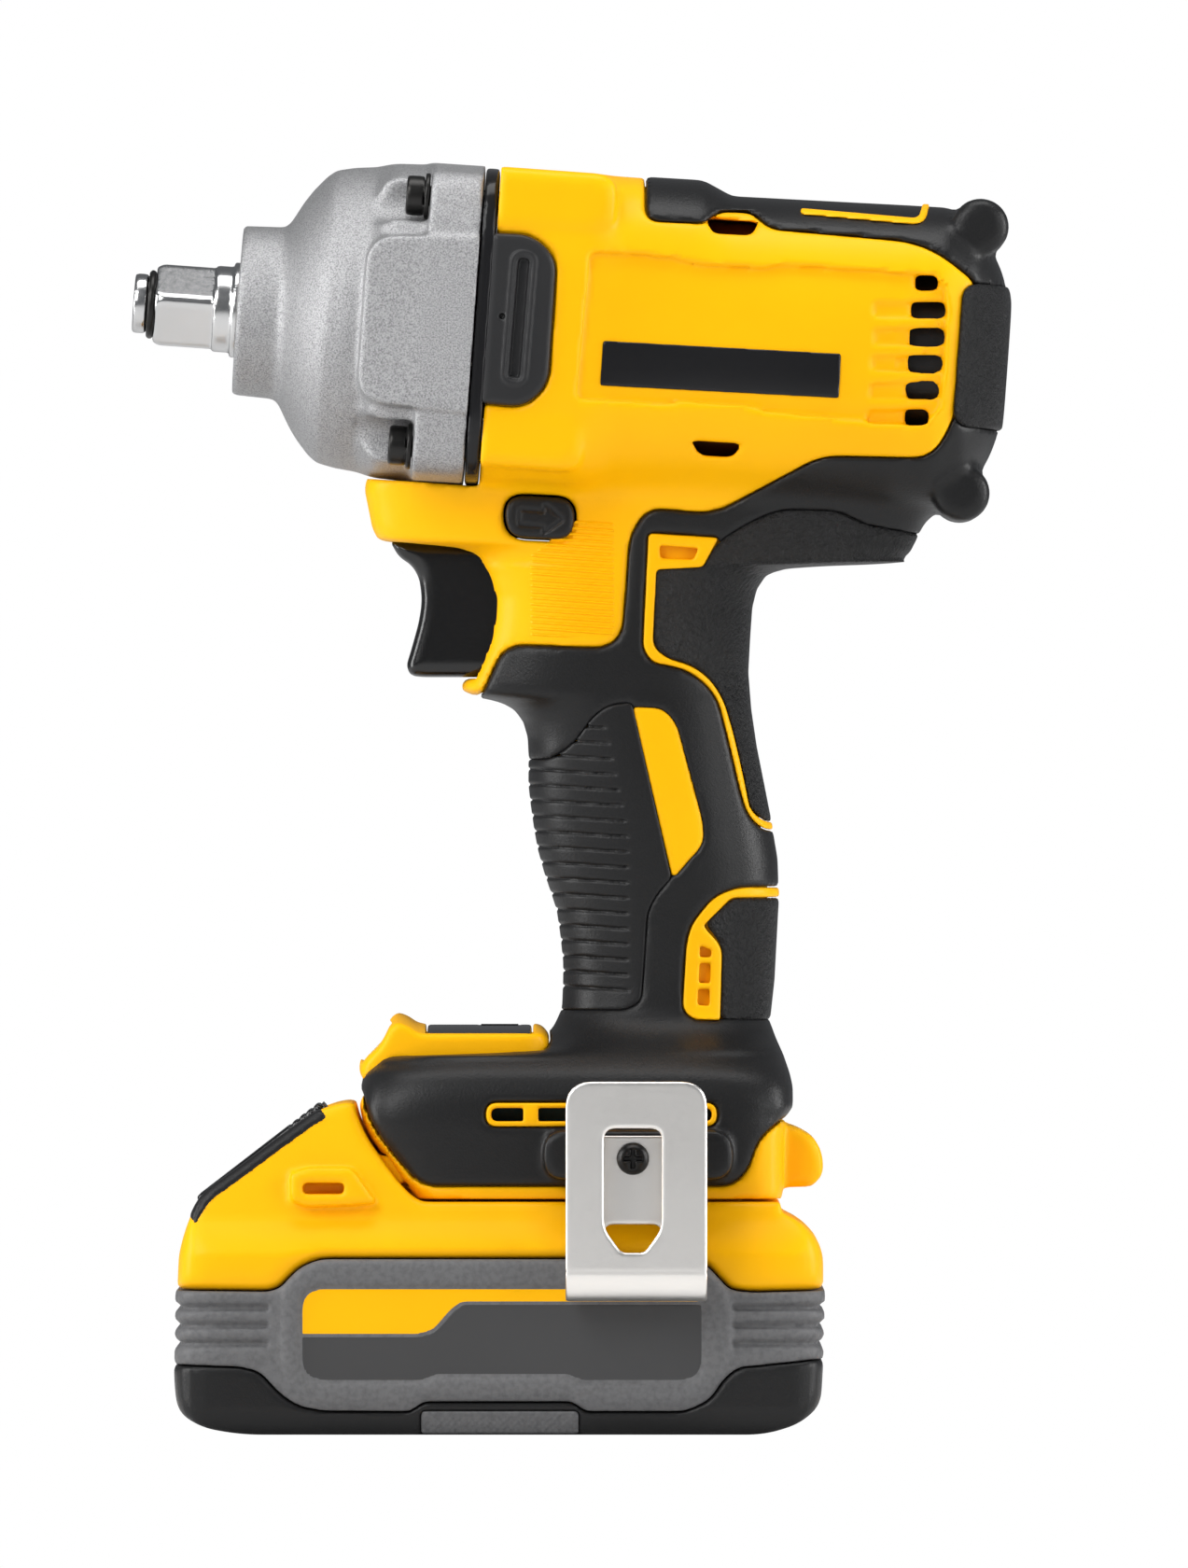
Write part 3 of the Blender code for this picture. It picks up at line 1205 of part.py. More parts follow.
def build_motor():
    """Bracket, bearings, stator, rotor with its pinion, and fan."""
    case_fit = MOTOR_BORE - CLEAR
    seat = BEARING_RADIUS + CLEAR
    bracket_end = FRONT_BEARING_START + BEARING_WIDTH
    bracket = [
        (BRACKET_START, SHAFT_RADIUS + 2), (BRACKET_START + BRACKET_THICKNESS, SHAFT_RADIUS + 2),
        (BRACKET_START + BRACKET_THICKNESS, seat), (bracket_end, seat), (bracket_end, seat + 2.5),
        (BRACKET_START + BRACKET_THICKNESS, seat + 2.5), (BRACKET_START + BRACKET_THICKNESS, case_fit),
        (BRACKET_START, case_fit),
    ]
    name_part(turned(bracket, head, SEGMENTS, ring=True), "motor_bracket", CAST)
    for name, start in (("front_bearing", FRONT_BEARING_START), ("rear_bearing", REAR_BEARING_START)):
        bearing = tube(start, start + BEARING_WIDTH, SHAFT_RADIUS + CLEAR, BEARING_RADIUS, head, FINE_SEGMENTS)
        name_part(bearing, name, STEEL)
    stator = tube(STATOR_START, STATOR_END, STATOR_BORE, case_fit, head, SEGMENTS)
    for slot in range(STATOR_SLOTS):
        angle = 360 * (slot + 0.5) / STATOR_SLOTS
        wide = prism_x(sector(STATOR_BORE - 1, STATOR_BORE + 8.5, angle, 22), STATOR_START - 1, STATOR_END + 1, head)
        cut(stator, wide)
    name_part(stator, "stator", COPPER)
    shaft_end = REAR_BEARING_START + BEARING_WIDTH
    rotor_end = ROTOR_START + ROTOR_LENGTH
    core = STATOR_BORE - AIR_GAP
    profile = [
        (GEAR_END, 0), (GEAR_END, SHAFT_RADIUS), (ROTOR_START, SHAFT_RADIUS), (ROTOR_START, core),
        (rotor_end, core), (rotor_end, SHAFT_RADIUS), (shaft_end, SHAFT_RADIUS), (shaft_end, 0),
    ]
    rotor = turned(profile, head, 28)
    tooth = math.pi * GEAR_MODULE / 2 - BACKLASH
    tip = SUN_RADIUS + ADDENDUM * GEAR_MODULE
    root = SUN_RADIUS - DEDENDUM * GEAR_MODULE
    pinion = gear_outline(SUN_TEETH, tip, root, tooth, 0)
    join(rotor, prism_x(pinion, GEAR_START, GEAR_END + 0.6, head))
    name_part(rotor, "rotor", STEEL)
    fan = tube(FAN_START, FAN_START + FAN_WIDTH, SHAFT_RADIUS + CLEAR, SHAFT_RADIUS + 4, head, FINE_SEGMENTS)
    join(fan, tube(FAN_START, FAN_START + 1.5, SHAFT_RADIUS + 2, FAN_RADIUS, head, 28))
    for blade in range(FAN_BLADES):
        vane = box((FAN_START + 1, -0.7, SHAFT_RADIUS + 3), (FAN_START + FAN_WIDTH, 0.7, FAN_RADIUS - 0.5), head)
        join(fan, move(vane, turn=2 * math.pi * blade / FAN_BLADES))
    name_part(fan, "fan", BLACK)


def build_switch_and_trigger():
    """Trigger with its stem, return spring and switch module in the grip."""
    trigger = prism_y(tool_outline(TRIGGER_AREA), -TRIGGER_HALF_WIDTH, TRIGGER_HALF_WIDTH)
    stem_height = rise(TRIGGER_STEM_HEIGHT)
    switch_front = SWITCH_AREA[0][0]
    trigger_back = TRIGGER_AREA[-1][0]
    join(trigger, move(rod(trigger_back - 1, switch_front + 1.5, TRIGGER_STEM_RADIUS, None, 14), z=stem_height))
    bevel_front_edges(trigger, 2.2)
    name_part(trigger, "trigger", BLACK)
    wire = TRIGGER_SPRING_WIRE
    start = trigger_back + CLEAR + wire
    end = switch_front - CLEAR - wire
    spring = coil(start, end, TRIGGER_STEM_RADIUS + CLEAR + 2 * wire, wire, 5, None)
    name_part(move(spring, z=stem_height), "trigger_spring", STEEL)
    half_width = HANDLE_HALF_WIDTH - HOUSING_WALL - CLEAR - 0.5
    switch = prism_y(tool_outline(SWITCH_AREA), -half_width, half_width)
    bore = rod(switch_front - 1, switch_front + 1.5 + TRIGGER_TRAVEL + 1, TRIGGER_STEM_RADIUS + CLEAR, None, 14)
    cut(switch, move(bore, z=stem_height))
    name_part(switch, "switch_module", PLATE_GREY)


def bevel_front_edges(form, width):
    """Round the two long edges of the trigger's finger face."""
    bm = bmesh.new()
    bm.from_mesh(form.data)
    limit = TRIGGER_AREA[0][0] + 8
    side = TRIGGER_HALF_WIDTH - 0.01
    edges = []
    for edge in bm.edges:
        first, second = (vert.co for vert in edge.verts)
        on_side = abs(first.y) > side and abs(second.y) > side and first.y * second.y > 0
        at_front = first.x < limit and second.x < limit
        if on_side and at_front and edge.calc_face_angle(0) > 1:
            edges.append(edge)
    bmesh.ops.bevel(bm, geom=edges, offset=width, segments=2, profile=0.5, affect="EDGES", clamp_overlap=True)
    bm.to_mesh(form.data)
    bm.free()


def build_direction_button():
    """Forward and reverse button, a bar that crosses the grip."""
    half_length = body_half_width(DIRECTION_BUTTON_PLACE[1]) + BUTTON_PROUD
    name_part(prism_y(button_outline(0), -half_length, half_length), "direction_button", BLACK)


def build_electronics():
    """Control module and terminal block in the foot."""
    low = terminal_floor()
    reach = TERMINAL_HALF_WIDTH
    terminal = box((TERMINAL_FRONT, -reach, low), (TERMINAL_REAR, reach, low + TERMINAL_HEIGHT))
    blade_low = BATTERY_HEIGHT + RAIL_LIP + 1
    half_blade = BLADE_THICKNESS / 2
    for side in BLADE_PLACES:
        blade_start = (TERMINAL_FRONT + BLADE_SETBACK, side - half_blade, blade_low)
        join(terminal, box(blade_start, (TERMINAL_REAR - BLADE_SETBACK - 2, side + half_blade, low + 1)))
    name_part(terminal, "terminal_block", GLOSS_BLACK)
    half_width = FOOT_HALF_WIDTH - FOOT_WALL - CLEAR - 4
    control_low = low + TERMINAL_HEIGHT + CLEAR
    control = box((CONTROL_FRONT, -half_width, control_low), (CONTROL_REAR, half_width, control_low + CONTROL_HEIGHT))
    name_part(control, "control_module", BOARD)


def build_light():
    """Light bezel on the foot, its lens, and the mode panel with its button."""
    half_width = BEZEL_HALF_WIDTH
    plan = rectangle(-32, -half_width, 8.8, half_width, 5)
    bezel = keep(prism_y(tool_outline(BEZEL_AREA), -half_width, half_width), prism_z(plan, 0, 2 * FAR))
    lens_half = half_width - 6
    cut(bezel, prism_y(tool_outline(LENS_AREA, CLEAR), -lens_half - CLEAR, lens_half + CLEAR))
    panel_half = half_width - 3.5
    cut(bezel, prism_y(tool_outline(BEZEL_POCKET), -panel_half - CLEAR, panel_half + CLEAR))
    name_part(bezel, "light_bezel", YELLOW)
    name_part(prism_y(tool_outline(LENS_AREA), -lens_half, lens_half), "light_lens", LENS)
    floor = rise(BEZEL_POCKET[0][1]) + CLEAR
    left, right = BEZEL_POCKET[0][0] + CLEAR, BEZEL_POCKET[1][0] - CLEAR
    panel = box((left, -panel_half, floor), (right, panel_half, rise(81.6)))
    button_half = 4.5
    cut(panel, prism_y(tool_outline([(-4.1, 70), (3.4, 70), (3.4, 90), (-4.1, 90)], CLEAR), -button_half - CLEAR,
                       button_half + CLEAR))
    name_part(panel, "mode_panel", GLOSS_BLACK)
    name_part(prism_y(tool_outline(MODE_BUTTON_AREA), -button_half, button_half), "mode_button", BLACK)


def build_belt_hook():
    """Bent steel belt hook with its windows, and its screw."""
    inner = HOOK_FACE + CLEAR
    radius = HOOK_THICKNESS + HOOK_GAP / 2
    centre_y = inner + radius
    bend_z = rise(HOOK_BOTTOM) + radius
    outer = inner + 2 * radius
    leg_top = rise(HOOK_BOSS_AREA[1][1]) - 1
    outside = [(-inner, leg_top)]
    inside = [(-inner - HOOK_THICKNESS, leg_top)]
    for step in range(9):
        angle = math.pi * step / 8
        for path, size in ((outside, radius), (inside, radius - HOOK_THICKNESS)):
            path.append((-centre_y + size * math.cos(angle), bend_z - size * math.sin(angle)))
    outside.append((-outer, rise(HOOK_TOP)))
    inside.append((-outer + HOOK_THICKNESS, rise(HOOK_TOP)))
    outline = [Vector(point) for point in outside + list(reversed(inside))]
    hook = prism_x(outline, HOOK_LEFT, HOOK_RIGHT)
    front = prism_y(rectangle(HOOK_LEFT, -5, HOOK_RIGHT, rise(HOOK_TOP), 5.2), -FAR, FAR)
    keep(hook, front)
    left = HOOK_SCREW_X - 5.8
    right = HOOK_SCREW_X + 5.8
    top = rise(HOOK_SCREW_Z) + 6.2
    window = [
        (left, top, 2.2), (right, top, 2.2), (right, top - 20, 2), (right - 3.6, top - 25), (left + 3.6, top - 25),
        (left, top - 20, 2),
    ]
    middle = -centre_y
    cut(hook, prism_y(rounded(window), -FAR, middle))
    slot = rectangle(left, bend_z + 1, right, rise(42.3), 2)
    cut(hook, prism_y(slot, middle, 0))
    hole = along_y(rod(-FAR, 0, SCREW_RADIUS + CLEAR, None, 12), HOOK_SCREW_X, rise(HOOK_SCREW_Z))
    cut(hook, hole)
    name_part(hook, "belt_hook", NICKEL)
    seat = inner + HOOK_THICKNESS + CLEAR
    tip = HOOK_SCREW_TIP - CLEAR
    profile = [
        (-seat - 1.8, 0), (-seat - 1.8, 2.4), (-seat - 1, 3.2), (-seat, 3.2), (-seat, SCREW_RADIUS),
        (tip, SCREW_RADIUS), (tip, 0),
    ]
    screw = turned(profile, None, 16)
    cut(screw, prism_x(circle(1.5, 6), -seat - 3, -seat - 0.8))
    name_part(along_y(screw, HOOK_SCREW_X, rise(HOOK_SCREW_Z)), "hook_screw", DARK_STEEL)


def pack_plan():
    """Rounded outline of the battery pack seen from above."""
    return rectangle(-66.2, -BATTERY_HALF_WIDTH, 65.6, BATTERY_HALF_WIDTH, BATTERY_CORNER)


def pack_section(inset=0):
    """Outline of the battery pack seen along X, drawn in above the seam."""
    half = BATTERY_HALF_WIDTH - inset
    right = [
        (half - 3, -5), (half - 1, 1.5), (half, 8), (half, pack_rise(36)), (half - 2, pack_rise(43), 3),
        (half - 4, pack_rise(50)), (half - 9, pack_rise(64)), (half - 13, pack_rise(68)),
    ]
    left = [(-corner[0], *corner[1:]) for corner in reversed(right)]
    return rounded(right + left)


def pack_solid(area):
    """Solid piece of the battery pack with the pack's plan and section."""
    form = prism_y(pack_outline(area), -FAR, FAR)
    return keep(form, prism_z(pack_plan(), -FAR, FAR), prism_x(pack_section(), -FAR, FAR))


def release_slab(raise_top, lower_bottom, grow):
    """Slab along the pack's front slope, as an outline on its side."""
    start = Vector((RELEASE_START[0], pack_rise(RELEASE_START[1])))
    end = Vector((RELEASE_END[0], pack_rise(RELEASE_END[1])))
    along = (end - start).normalized()
    outward = Vector((-along.y, along.x))
    low = start - along * grow
    high = end + along * grow
    top = outward * raise_top
    bottom = outward * -lower_bottom
    return [low + bottom, high + bottom, high + top, low + top]


def build_battery():
    """Battery cases, base guard, cell stack and release button."""
    upper = pack_solid(PACK_UPPER_AREA)
    seam = BATTERY_HEIGHT
    front_end = -26.0
    rail = prism_x(rail_outline(0), front_end, RAIL_BACK)
    join(upper, cut(rail, box((-FAR, -FAR, -FAR), (FAR, FAR, seam - 2))))
    half_slot = BLADE_THICKNESS / 2 + 0.8
    for side in BLADE_PLACES:
        cut(upper, box((TERMINAL_FRONT - 3, side - half_slot, seam + RAIL_LIP), (FAR, side + half_slot, seam + 30)))
    cells = pack_outline(CELL_AREA, 1)
    inner = BATTERY_HALF_WIDTH - BATTERY_WALL
    cut(upper, prism_y(cells, -inner, inner))
    pocket = release_slab(10, RELEASE_THICKNESS + RELEASE_TRAVEL + CLEAR, CLEAR)
    pocket_half = RELEASE_HALF_WIDTH + CLEAR
    cut(upper, prism_y(pocket, -pocket_half, pocket_half))
    name_part(upper, "battery_upper", YELLOW)
    lower = pack_solid(PACK_LOWER_AREA)
    cut(lower, prism_y(cells, -inner, inner))
    name_part(lower, "battery_lower", PACK_GREY)
    base = pack_solid(PACK_BASE_AREA)
    cut(base, prism_y(cells, -inner, inner))
    name_part(base, "battery_base", BLACK)
    stack = prism_y(pack_outline(CELL_AREA), CLEAR + 0.2 - inner, inner - CLEAR - 0.2)
    pitch = (pack_rise(CELL_AREA[2][1]) - CELL_AREA[0][1]) / CELL_COUNT
    for groove in range(1, CELL_COUNT):
        middle = CELL_AREA[0][1] + pitch * groove
        low = (-FAR, -FAR, middle - CELL_GROOVE / 2)
        cut(stack, box(low, (FAR, -6 - CLEAR, middle + CELL_GROOVE / 2)))
    name_part(stack, "cell_stack", PLATE_GREY)
    button = prism_y(release_slab(0.8, RELEASE_THICKNESS, 0), -RELEASE_HALF_WIDTH, RELEASE_HALF_WIDTH)
    name_part(button, "release_button", BLACK)


build_nose()
build_spacer()
build_nose_screws()
build_housing()
build_case_screws()
build_overmould()
build_pads()
build_side_plates()
build_anvil()
build_bushing()
build_hammer()
build_cam_carrier()
build_gears()
build_motor()
build_switch_and_trigger()
build_direction_button()
build_electronics()
build_light()
build_belt_hook()
build_battery()
for spare in FORMS.values():
    bpy.data.objects.remove(spare)
for piece in bpy.data.objects:
    piece.location *= MM
    if piece.type == "MESH":
        piece.data.transform(Matrix.Scale(MM, 4))
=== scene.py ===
import math
import bpy
import numpy as np
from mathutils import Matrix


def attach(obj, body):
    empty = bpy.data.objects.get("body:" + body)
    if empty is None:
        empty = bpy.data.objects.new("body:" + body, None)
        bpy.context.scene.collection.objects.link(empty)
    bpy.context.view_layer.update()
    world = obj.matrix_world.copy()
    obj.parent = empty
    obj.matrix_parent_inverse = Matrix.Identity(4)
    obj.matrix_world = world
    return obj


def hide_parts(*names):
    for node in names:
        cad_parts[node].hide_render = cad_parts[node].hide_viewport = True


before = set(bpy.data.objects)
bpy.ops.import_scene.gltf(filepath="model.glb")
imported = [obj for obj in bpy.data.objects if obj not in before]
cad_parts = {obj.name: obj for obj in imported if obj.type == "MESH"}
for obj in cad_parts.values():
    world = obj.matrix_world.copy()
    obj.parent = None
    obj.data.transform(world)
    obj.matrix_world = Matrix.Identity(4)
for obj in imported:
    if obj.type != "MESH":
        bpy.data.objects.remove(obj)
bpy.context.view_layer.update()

# View: a long lens square to the tool's left side, soft lamps all round and a plain pale floor.
# The camera, and mirrors and glass behind it, see the floor and the world as white.
scene = bpy.context.scene
scene.render.engine = "CYCLES"
scene.view_settings.view_transform = "Standard"
scene.view_settings.look = "None"
scene.view_settings.exposure = 0.0
lens = bpy.data.cameras.new("camera")
lens.sensor_fit = "VERTICAL"
lens.sensor_height = 36.0
lens.lens = 36.0 * 5.98 / 0.3158
lens.clip_end = 20.0
camera = bpy.data.objects.new("camera", lens)
camera.location = (0.0187, -6.0, 0.1307)
camera.rotation_euler = (math.radians(90), 0, 0)
scene.collection.objects.link(camera)
scene.camera = camera
world = bpy.data.worlds.new("studio")
scene.world = world
world.use_nodes = True
tree = world.node_tree
tree.nodes.clear()
path = tree.nodes.new("ShaderNodeLightPath")
seen = tree.nodes.new("ShaderNodeMath")
seen.operation = "MAXIMUM"
tree.links.new(path.outputs["Is Camera Ray"], seen.inputs[0])
tree.links.new(path.outputs["Is Transmission Ray"], seen.inputs[1])
soft = tree.nodes.new("ShaderNodeBackground")
soft.inputs["Color"].default_value = (0.92, 0.95, 1.0, 1)
soft.inputs["Strength"].default_value = 0.17
white = tree.nodes.new("ShaderNodeBackground")
white.inputs["Color"].default_value = (1, 1, 1, 1)
white.inputs["Strength"].default_value = 1.0
mix = tree.nodes.new("ShaderNodeMixShader")
out = tree.nodes.new("ShaderNodeOutputWorld")
tree.links.new(seen.outputs[0], mix.inputs[0])
tree.links.new(soft.outputs[0], mix.inputs[1])
tree.links.new(white.outputs[0], mix.inputs[2])
tree.links.new(mix.outputs[0], out.inputs["Surface"])


def lamp(name, place, aim, size, power, colour=(1, 1, 1)):
    """Soft square lamp turned towards a point."""
    data = bpy.data.lights.new(name, "AREA")
    data.shape = "RECTANGLE"
    data.size = size[0]
    data.size_y = size[1]
    data.energy = power
    data.color = colour
    body = bpy.data.objects.new(name, data)
    body.location = place
    away = body.location.copy()
    away.x -= aim[0]
    away.y -= aim[1]
    away.z -= aim[2]
    body.rotation_euler = away.to_track_quat("Z", "Y").to_euler()
    scene.collection.objects.link(body)


lamp("key", (-0.75, -1.1, 0.95), (0.0, 0, 0.14), (0.7, 0.9), 12.4)
lamp("fill", (1.0, -0.9, 0.45), (0.03, 0, 0.13), (0.5, 0.9), 4.6)
lamp("top", (0.05, -0.1, 1.1), (0.03, 0, 0.2), (0.9, 0.5), 6.0)
lamp("edge_left", (-0.95, -0.15, 0.3), (0.0, 0, 0.14), (0.3, 0.9), 7.5)
lamp("edge_right", (1.0, -0.05, 0.3), (0.05, 0, 0.14), (0.3, 0.9), 7.5)
floor_data = bpy.data.meshes.new("floor")
reach = 3.0
floor_points = [(-reach, -reach, 0), (reach, -reach, 0), (reach, reach, 0), (-reach, reach, 0)]
floor_data.from_pydata(floor_points, [], [(0, 1, 2, 3)])
floor = bpy.data.objects.new("floor", floor_data)
scene.collection.objects.link(floor)
pale = bpy.data.materials.new("pale_floor")
pale.use_nodes = True
tree = pale.node_tree
tree.nodes.clear()
path = tree.nodes.new("ShaderNodeLightPath")
plain = tree.nodes.new("ShaderNodeBsdfDiffuse")
plain.inputs["Color"].default_value = (0.8, 0.8, 0.8, 1)
glow = tree.nodes.new("ShaderNodeEmission")
glow.inputs["Color"].default_value = (1, 1, 1, 1)
glow.inputs["Strength"].default_value = 1.0
mix = tree.nodes.new("ShaderNodeMixShader")
out = tree.nodes.new("ShaderNodeOutputMaterial")
tree.links.new(path.outputs["Is Camera Ray"], mix.inputs[0])
tree.links.new(plain.outputs[0], mix.inputs[1])
tree.links.new(glow.outputs[0], mix.inputs[2])
tree.links.new(mix.outputs[0], out.inputs["Surface"])
floor_data.materials.append(pale)

# Housing halves: satin yellow glass-filled nylon clamshell, screwed together from the right.
# Each is a hollow shell, lowered where the black skin lies and open at the vents, slots and trigger.
# Forms are fields in millimetres, below zero inside, and a surface is drawn where a field is zero.
TILT = math.radians(4.1)
HEAD_X = -5.5
HEAD_Z = 223.0
GRID = 0.8
SPLIT_GAP = 0.12


def head_u(x, z):
    """Distance behind the nose joint, along the head's axis."""
    return (x - HEAD_X) * math.cos(TILT) - (z - HEAD_Z) * math.sin(TILT)


def head_v(x, z):
    """Height above the head's axis."""
    return (x - HEAD_X) * math.sin(TILT) + (z - HEAD_Z) * math.cos(TILT)


def curve(points, blur):
    """Smooth function through drawn (place, value) points."""
    points = sorted(points)
    places = np.arange(points[0][0] - 10, points[-1][0] + 10, 0.2)
    values = np.interp(places, [p[0] for p in points], [p[1] for p in points])
    count = max(int(blur / 0.2), 1)
    window = np.hanning(2 * count + 3)
    padded = np.pad(values, count + 1, mode="edge")
    values = np.convolve(padded, window / window.sum(), "valid")
    return lambda place: np.interp(place, places, values)


def join(a, b, k):
    """Fuse two forms with a fillet."""
    h = np.clip(0.5 + 0.5 * (b - a) / k, 0, 1)
    return b + (a - b) * h - k * h * (1 - h)


def meet(a, b, k):
    """Keep what two forms share, with an eased edge."""
    return -join(-a, -b, k)


def cut(a, b, k):
    """Take the second form from the first, with an eased edge."""
    return meet(a, -b, k)


def outline(corners):
    """Drawn corners (a, b, radius) as a dense closed outline."""
    dense = []
    count = len(corners)
    for index in range(count):
        here = np.array(corners[index][:2], float)
        back = np.array(corners[index - 1][:2], float) - here
        ahead = np.array(corners[(index + 1) % count][:2], float) - here
        radius = corners[index][2] if len(corners[index]) > 2 else 0.6
        back_size = np.hypot(*back)
        ahead_size = np.hypot(*ahead)
        reach = min(radius, 0.48 * back_size, 0.48 * ahead_size)
        first = here + back / back_size * reach
        last = here + ahead / ahead_size * reach
        for t in np.linspace(0, 1, 7):
            dense.append((1 - t) ** 2 * first + 2 * t * (1 - t) * here + t * t * last)
    return np.array(dense)


def area(corners, a, b):
    """Signed distance to a drawn outline, over coordinates a and b."""
    points = outline(corners)
    a, b = np.broadcast_arrays(np.asarray(a, np.float32), np.asarray(b, np.float32))
    best = np.full(a.shape, 1e9, np.float32)
    inside = np.zeros(a.shape, bool)
    for start, end in zip(points, np.roll(points, -1, axis=0)):
        da, db = end - start
        size = da * da + db * db
        if size < 1e-10:
            continue
        t = np.clip(((a - start[0]) * da + (b - start[1]) * db) / size, 0, 1)
        best = np.minimum(best, (a - start[0] - t * da) ** 2 + (b - start[1] - t * db) ** 2)
        if db != 0:
            crossing = (start[1] > b) != (end[1] > b)
            inside ^= crossing & (a < start[0] + (b - start[1]) * da / db)
    best = np.sqrt(best)
    return np.where(inside, -best, best)


def even(field, step):
    """Turn a level field into an approximate distance."""
    gx, gy, gz = np.gradient(field, step)
    return field / np.maximum(np.sqrt(gx * gx + gy * gy + gz * gz), 1e-4)


def bowl(values, a, b, power):
    """Rounded-section level field from two scaled coordinates."""
    return (np.abs(a) ** power + np.abs(b) ** power) ** (1 / power) - values


FEWEST_FACES = 200


def mesh_from_field(field, low, step):
    """Points and quads where a sampled field is zero."""
    inside = field < 0
    shape = field.shape
    cells = tuple(size - 1 for size in shape)
    total = np.zeros(cells + (3,), np.float32)
    count = np.zeros(cells, np.float32)
    corners = [(i, j, k) for i in (0, 1) for j in (0, 1) for k in (0, 1)]

    def corner(array, c):
        return array[c[0]:c[0] + cells[0], c[1]:c[1] + cells[1], c[2]:c[2] + cells[2]]

    for first in corners:
        for axis in range(3):
            if first[axis]:
                continue
            second = list(first)
            second[axis] = 1
            fa = corner(field, first)
            fb = corner(field, second)
            crossed = corner(inside, first) != corner(inside, second)
            t = np.where(crossed, fa / np.where(crossed, fa - fb, 1), 0)
            for part in range(3):
                place = first[part] + (t if part == axis else 0)
                total[..., part] += np.where(crossed, place, 0)
            count += crossed
    used = count > 0
    number = np.full(cells, -1, np.int64)
    number[used] = np.arange(int(used.sum()))
    index = np.argwhere(used)
    points = index + total[used] / count[used][:, None]
    quads = []
    for axis in range(3):
        other = [a for a in range(3) if a != axis]
        low_part = [slice(None)] * 3
        high_part = [slice(None)] * 3
        low_part[axis] = slice(0, -1)
        high_part[axis] = slice(1, None)
        change = inside[tuple(low_part)] != inside[tuple(high_part)]
        place = np.argwhere(change)
        good = np.ones(len(place), bool)
        for a in other:
            good &= (place[:, a] > 0) & (place[:, a] < shape[a] - 1)
        place = place[good]
        ring = []
        for back_a, back_b in ((1, 1), (0, 1), (0, 0), (1, 0)):
            cell = place.copy()
            cell[:, other[0]] -= back_a
            cell[:, other[1]] -= back_b
            ring.append(number[cell[:, 0], cell[:, 1], cell[:, 2]])
        quad = np.stack(ring, axis=1)
        flip = inside[place[:, 0], place[:, 1], place[:, 2]]
        if axis == 1:
            flip = ~flip
        quad[~flip] = quad[~flip][:, ::-1]
        quads.append(quad)
    quads = np.concatenate(quads)
    gradient = np.gradient(field)
    limit = np.array(shape) - 1.001
    for _ in range(2):
        spot = np.clip(points, 0, limit)
        base = spot.astype(int)
        part = spot - base
        value = np.zeros(len(points))
        slope = np.zeros((len(points), 3))
        for c in corners:
            weight = np.ones(len(points))
            for a in range(3):
                weight = weight * (part[:, a] if c[a] else 1 - part[:, a])
            at = (base[:, 0] + c[0], base[:, 1] + c[1], base[:, 2] + c[2])
            value += weight * field[at]
            for a in range(3):
                slope[:, a] += weight * gradient[a][at]
        size = np.maximum((slope ** 2).sum(axis=1), 1e-6)
        move = -(value / size)[:, None] * slope
        far = np.maximum(np.sqrt((move ** 2).sum(axis=1)), 1e-9)
        points = points + move * np.minimum(1, 0.35 / far)[:, None]
    return without_crumbs(points * step + np.array(low), quads, FEWEST_FACES)


def without_crumbs(points, quads, fewest):
    """Drop islands of the surface that have few faces."""
    label = np.arange(len(points))
    edges = np.concatenate([quads[:, [0, 1]], quads[:, [1, 2]], quads[:, [2, 3]]])
    settled = False
    while not settled:
        ends = label[edges]
        joined = label.copy()
        np.minimum.at(joined, ends[:, 0], ends[:, 1])
        np.minimum.at(joined, ends[:, 1], ends[:, 0])
        joined = joined[joined[joined]]
        settled = np.array_equal(joined, label)
        label = joined
    island = label[quads[:, 0]]
    kept = np.bincount(island, minlength=len(points))[island] >= fewest
    used, numbers = np.unique(quads[kept], return_inverse=True)
    return points[used], numbers.reshape(-1, 4)


SCREW_HOLE_RADIUS = 3.6


def solid(name, make, low, high, step, body, nodes, mirror=None, holes=()):
    """Piece drawn from a field over a box, riding on a body, with a mirrored twin that may have holes."""
    axes = [np.arange(a, b + step, step, dtype=np.float32) for a, b in zip(low, high)]
    x = axes[0][:, None, None]
    y = axes[1][None, :, None]
    z = axes[2][None, None, :]
    field = make(x, y, z, step)
    field = np.ascontiguousarray(np.broadcast_to(field, tuple(len(a) for a in axes)), np.float32)
    surface = mesh_from_field(field, low, step)
    twins = [(name, 1, nodes[0], surface)]
    if mirror:
        for across, up, floor_of_hole in holes:
            hole = np.sqrt((x - across) ** 2 + (z - up) ** 2) - SCREW_HOLE_RADIUS
            field = np.maximum(field, -np.maximum(hole, y + floor_of_hole))
        twins.append((mirror, -1, nodes[1], mesh_from_field(field, low, step) if holes else surface))
    made = []
    for title, side, node, (points, quads) in twins:
        data = bpy.data.meshes.new(title)
        data.vertices.add(len(points))
        data.vertices.foreach_set("co", (points * np.array([1, side, 1]) * 0.001).ravel())
        faces = quads if side > 0 else quads[:, ::-1]
        data.loops.add(faces.size)
        data.loops.foreach_set("vertex_index", faces.ravel().astype(np.int32))
        data.polygons.add(len(faces))
        data.polygons.foreach_set("loop_start", np.arange(0, faces.size, 4, dtype=np.int32))
        data.update(calc_edges=True)
        data.validate()
        data.polygons.foreach_set("use_smooth", np.ones(len(data.polygons), bool))
        piece = bpy.data.objects.new(title, data)
        scene.collection.objects.link(piece)
        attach(piece, body)
        if node:
            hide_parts(node)
        made.append(piece)
    return made


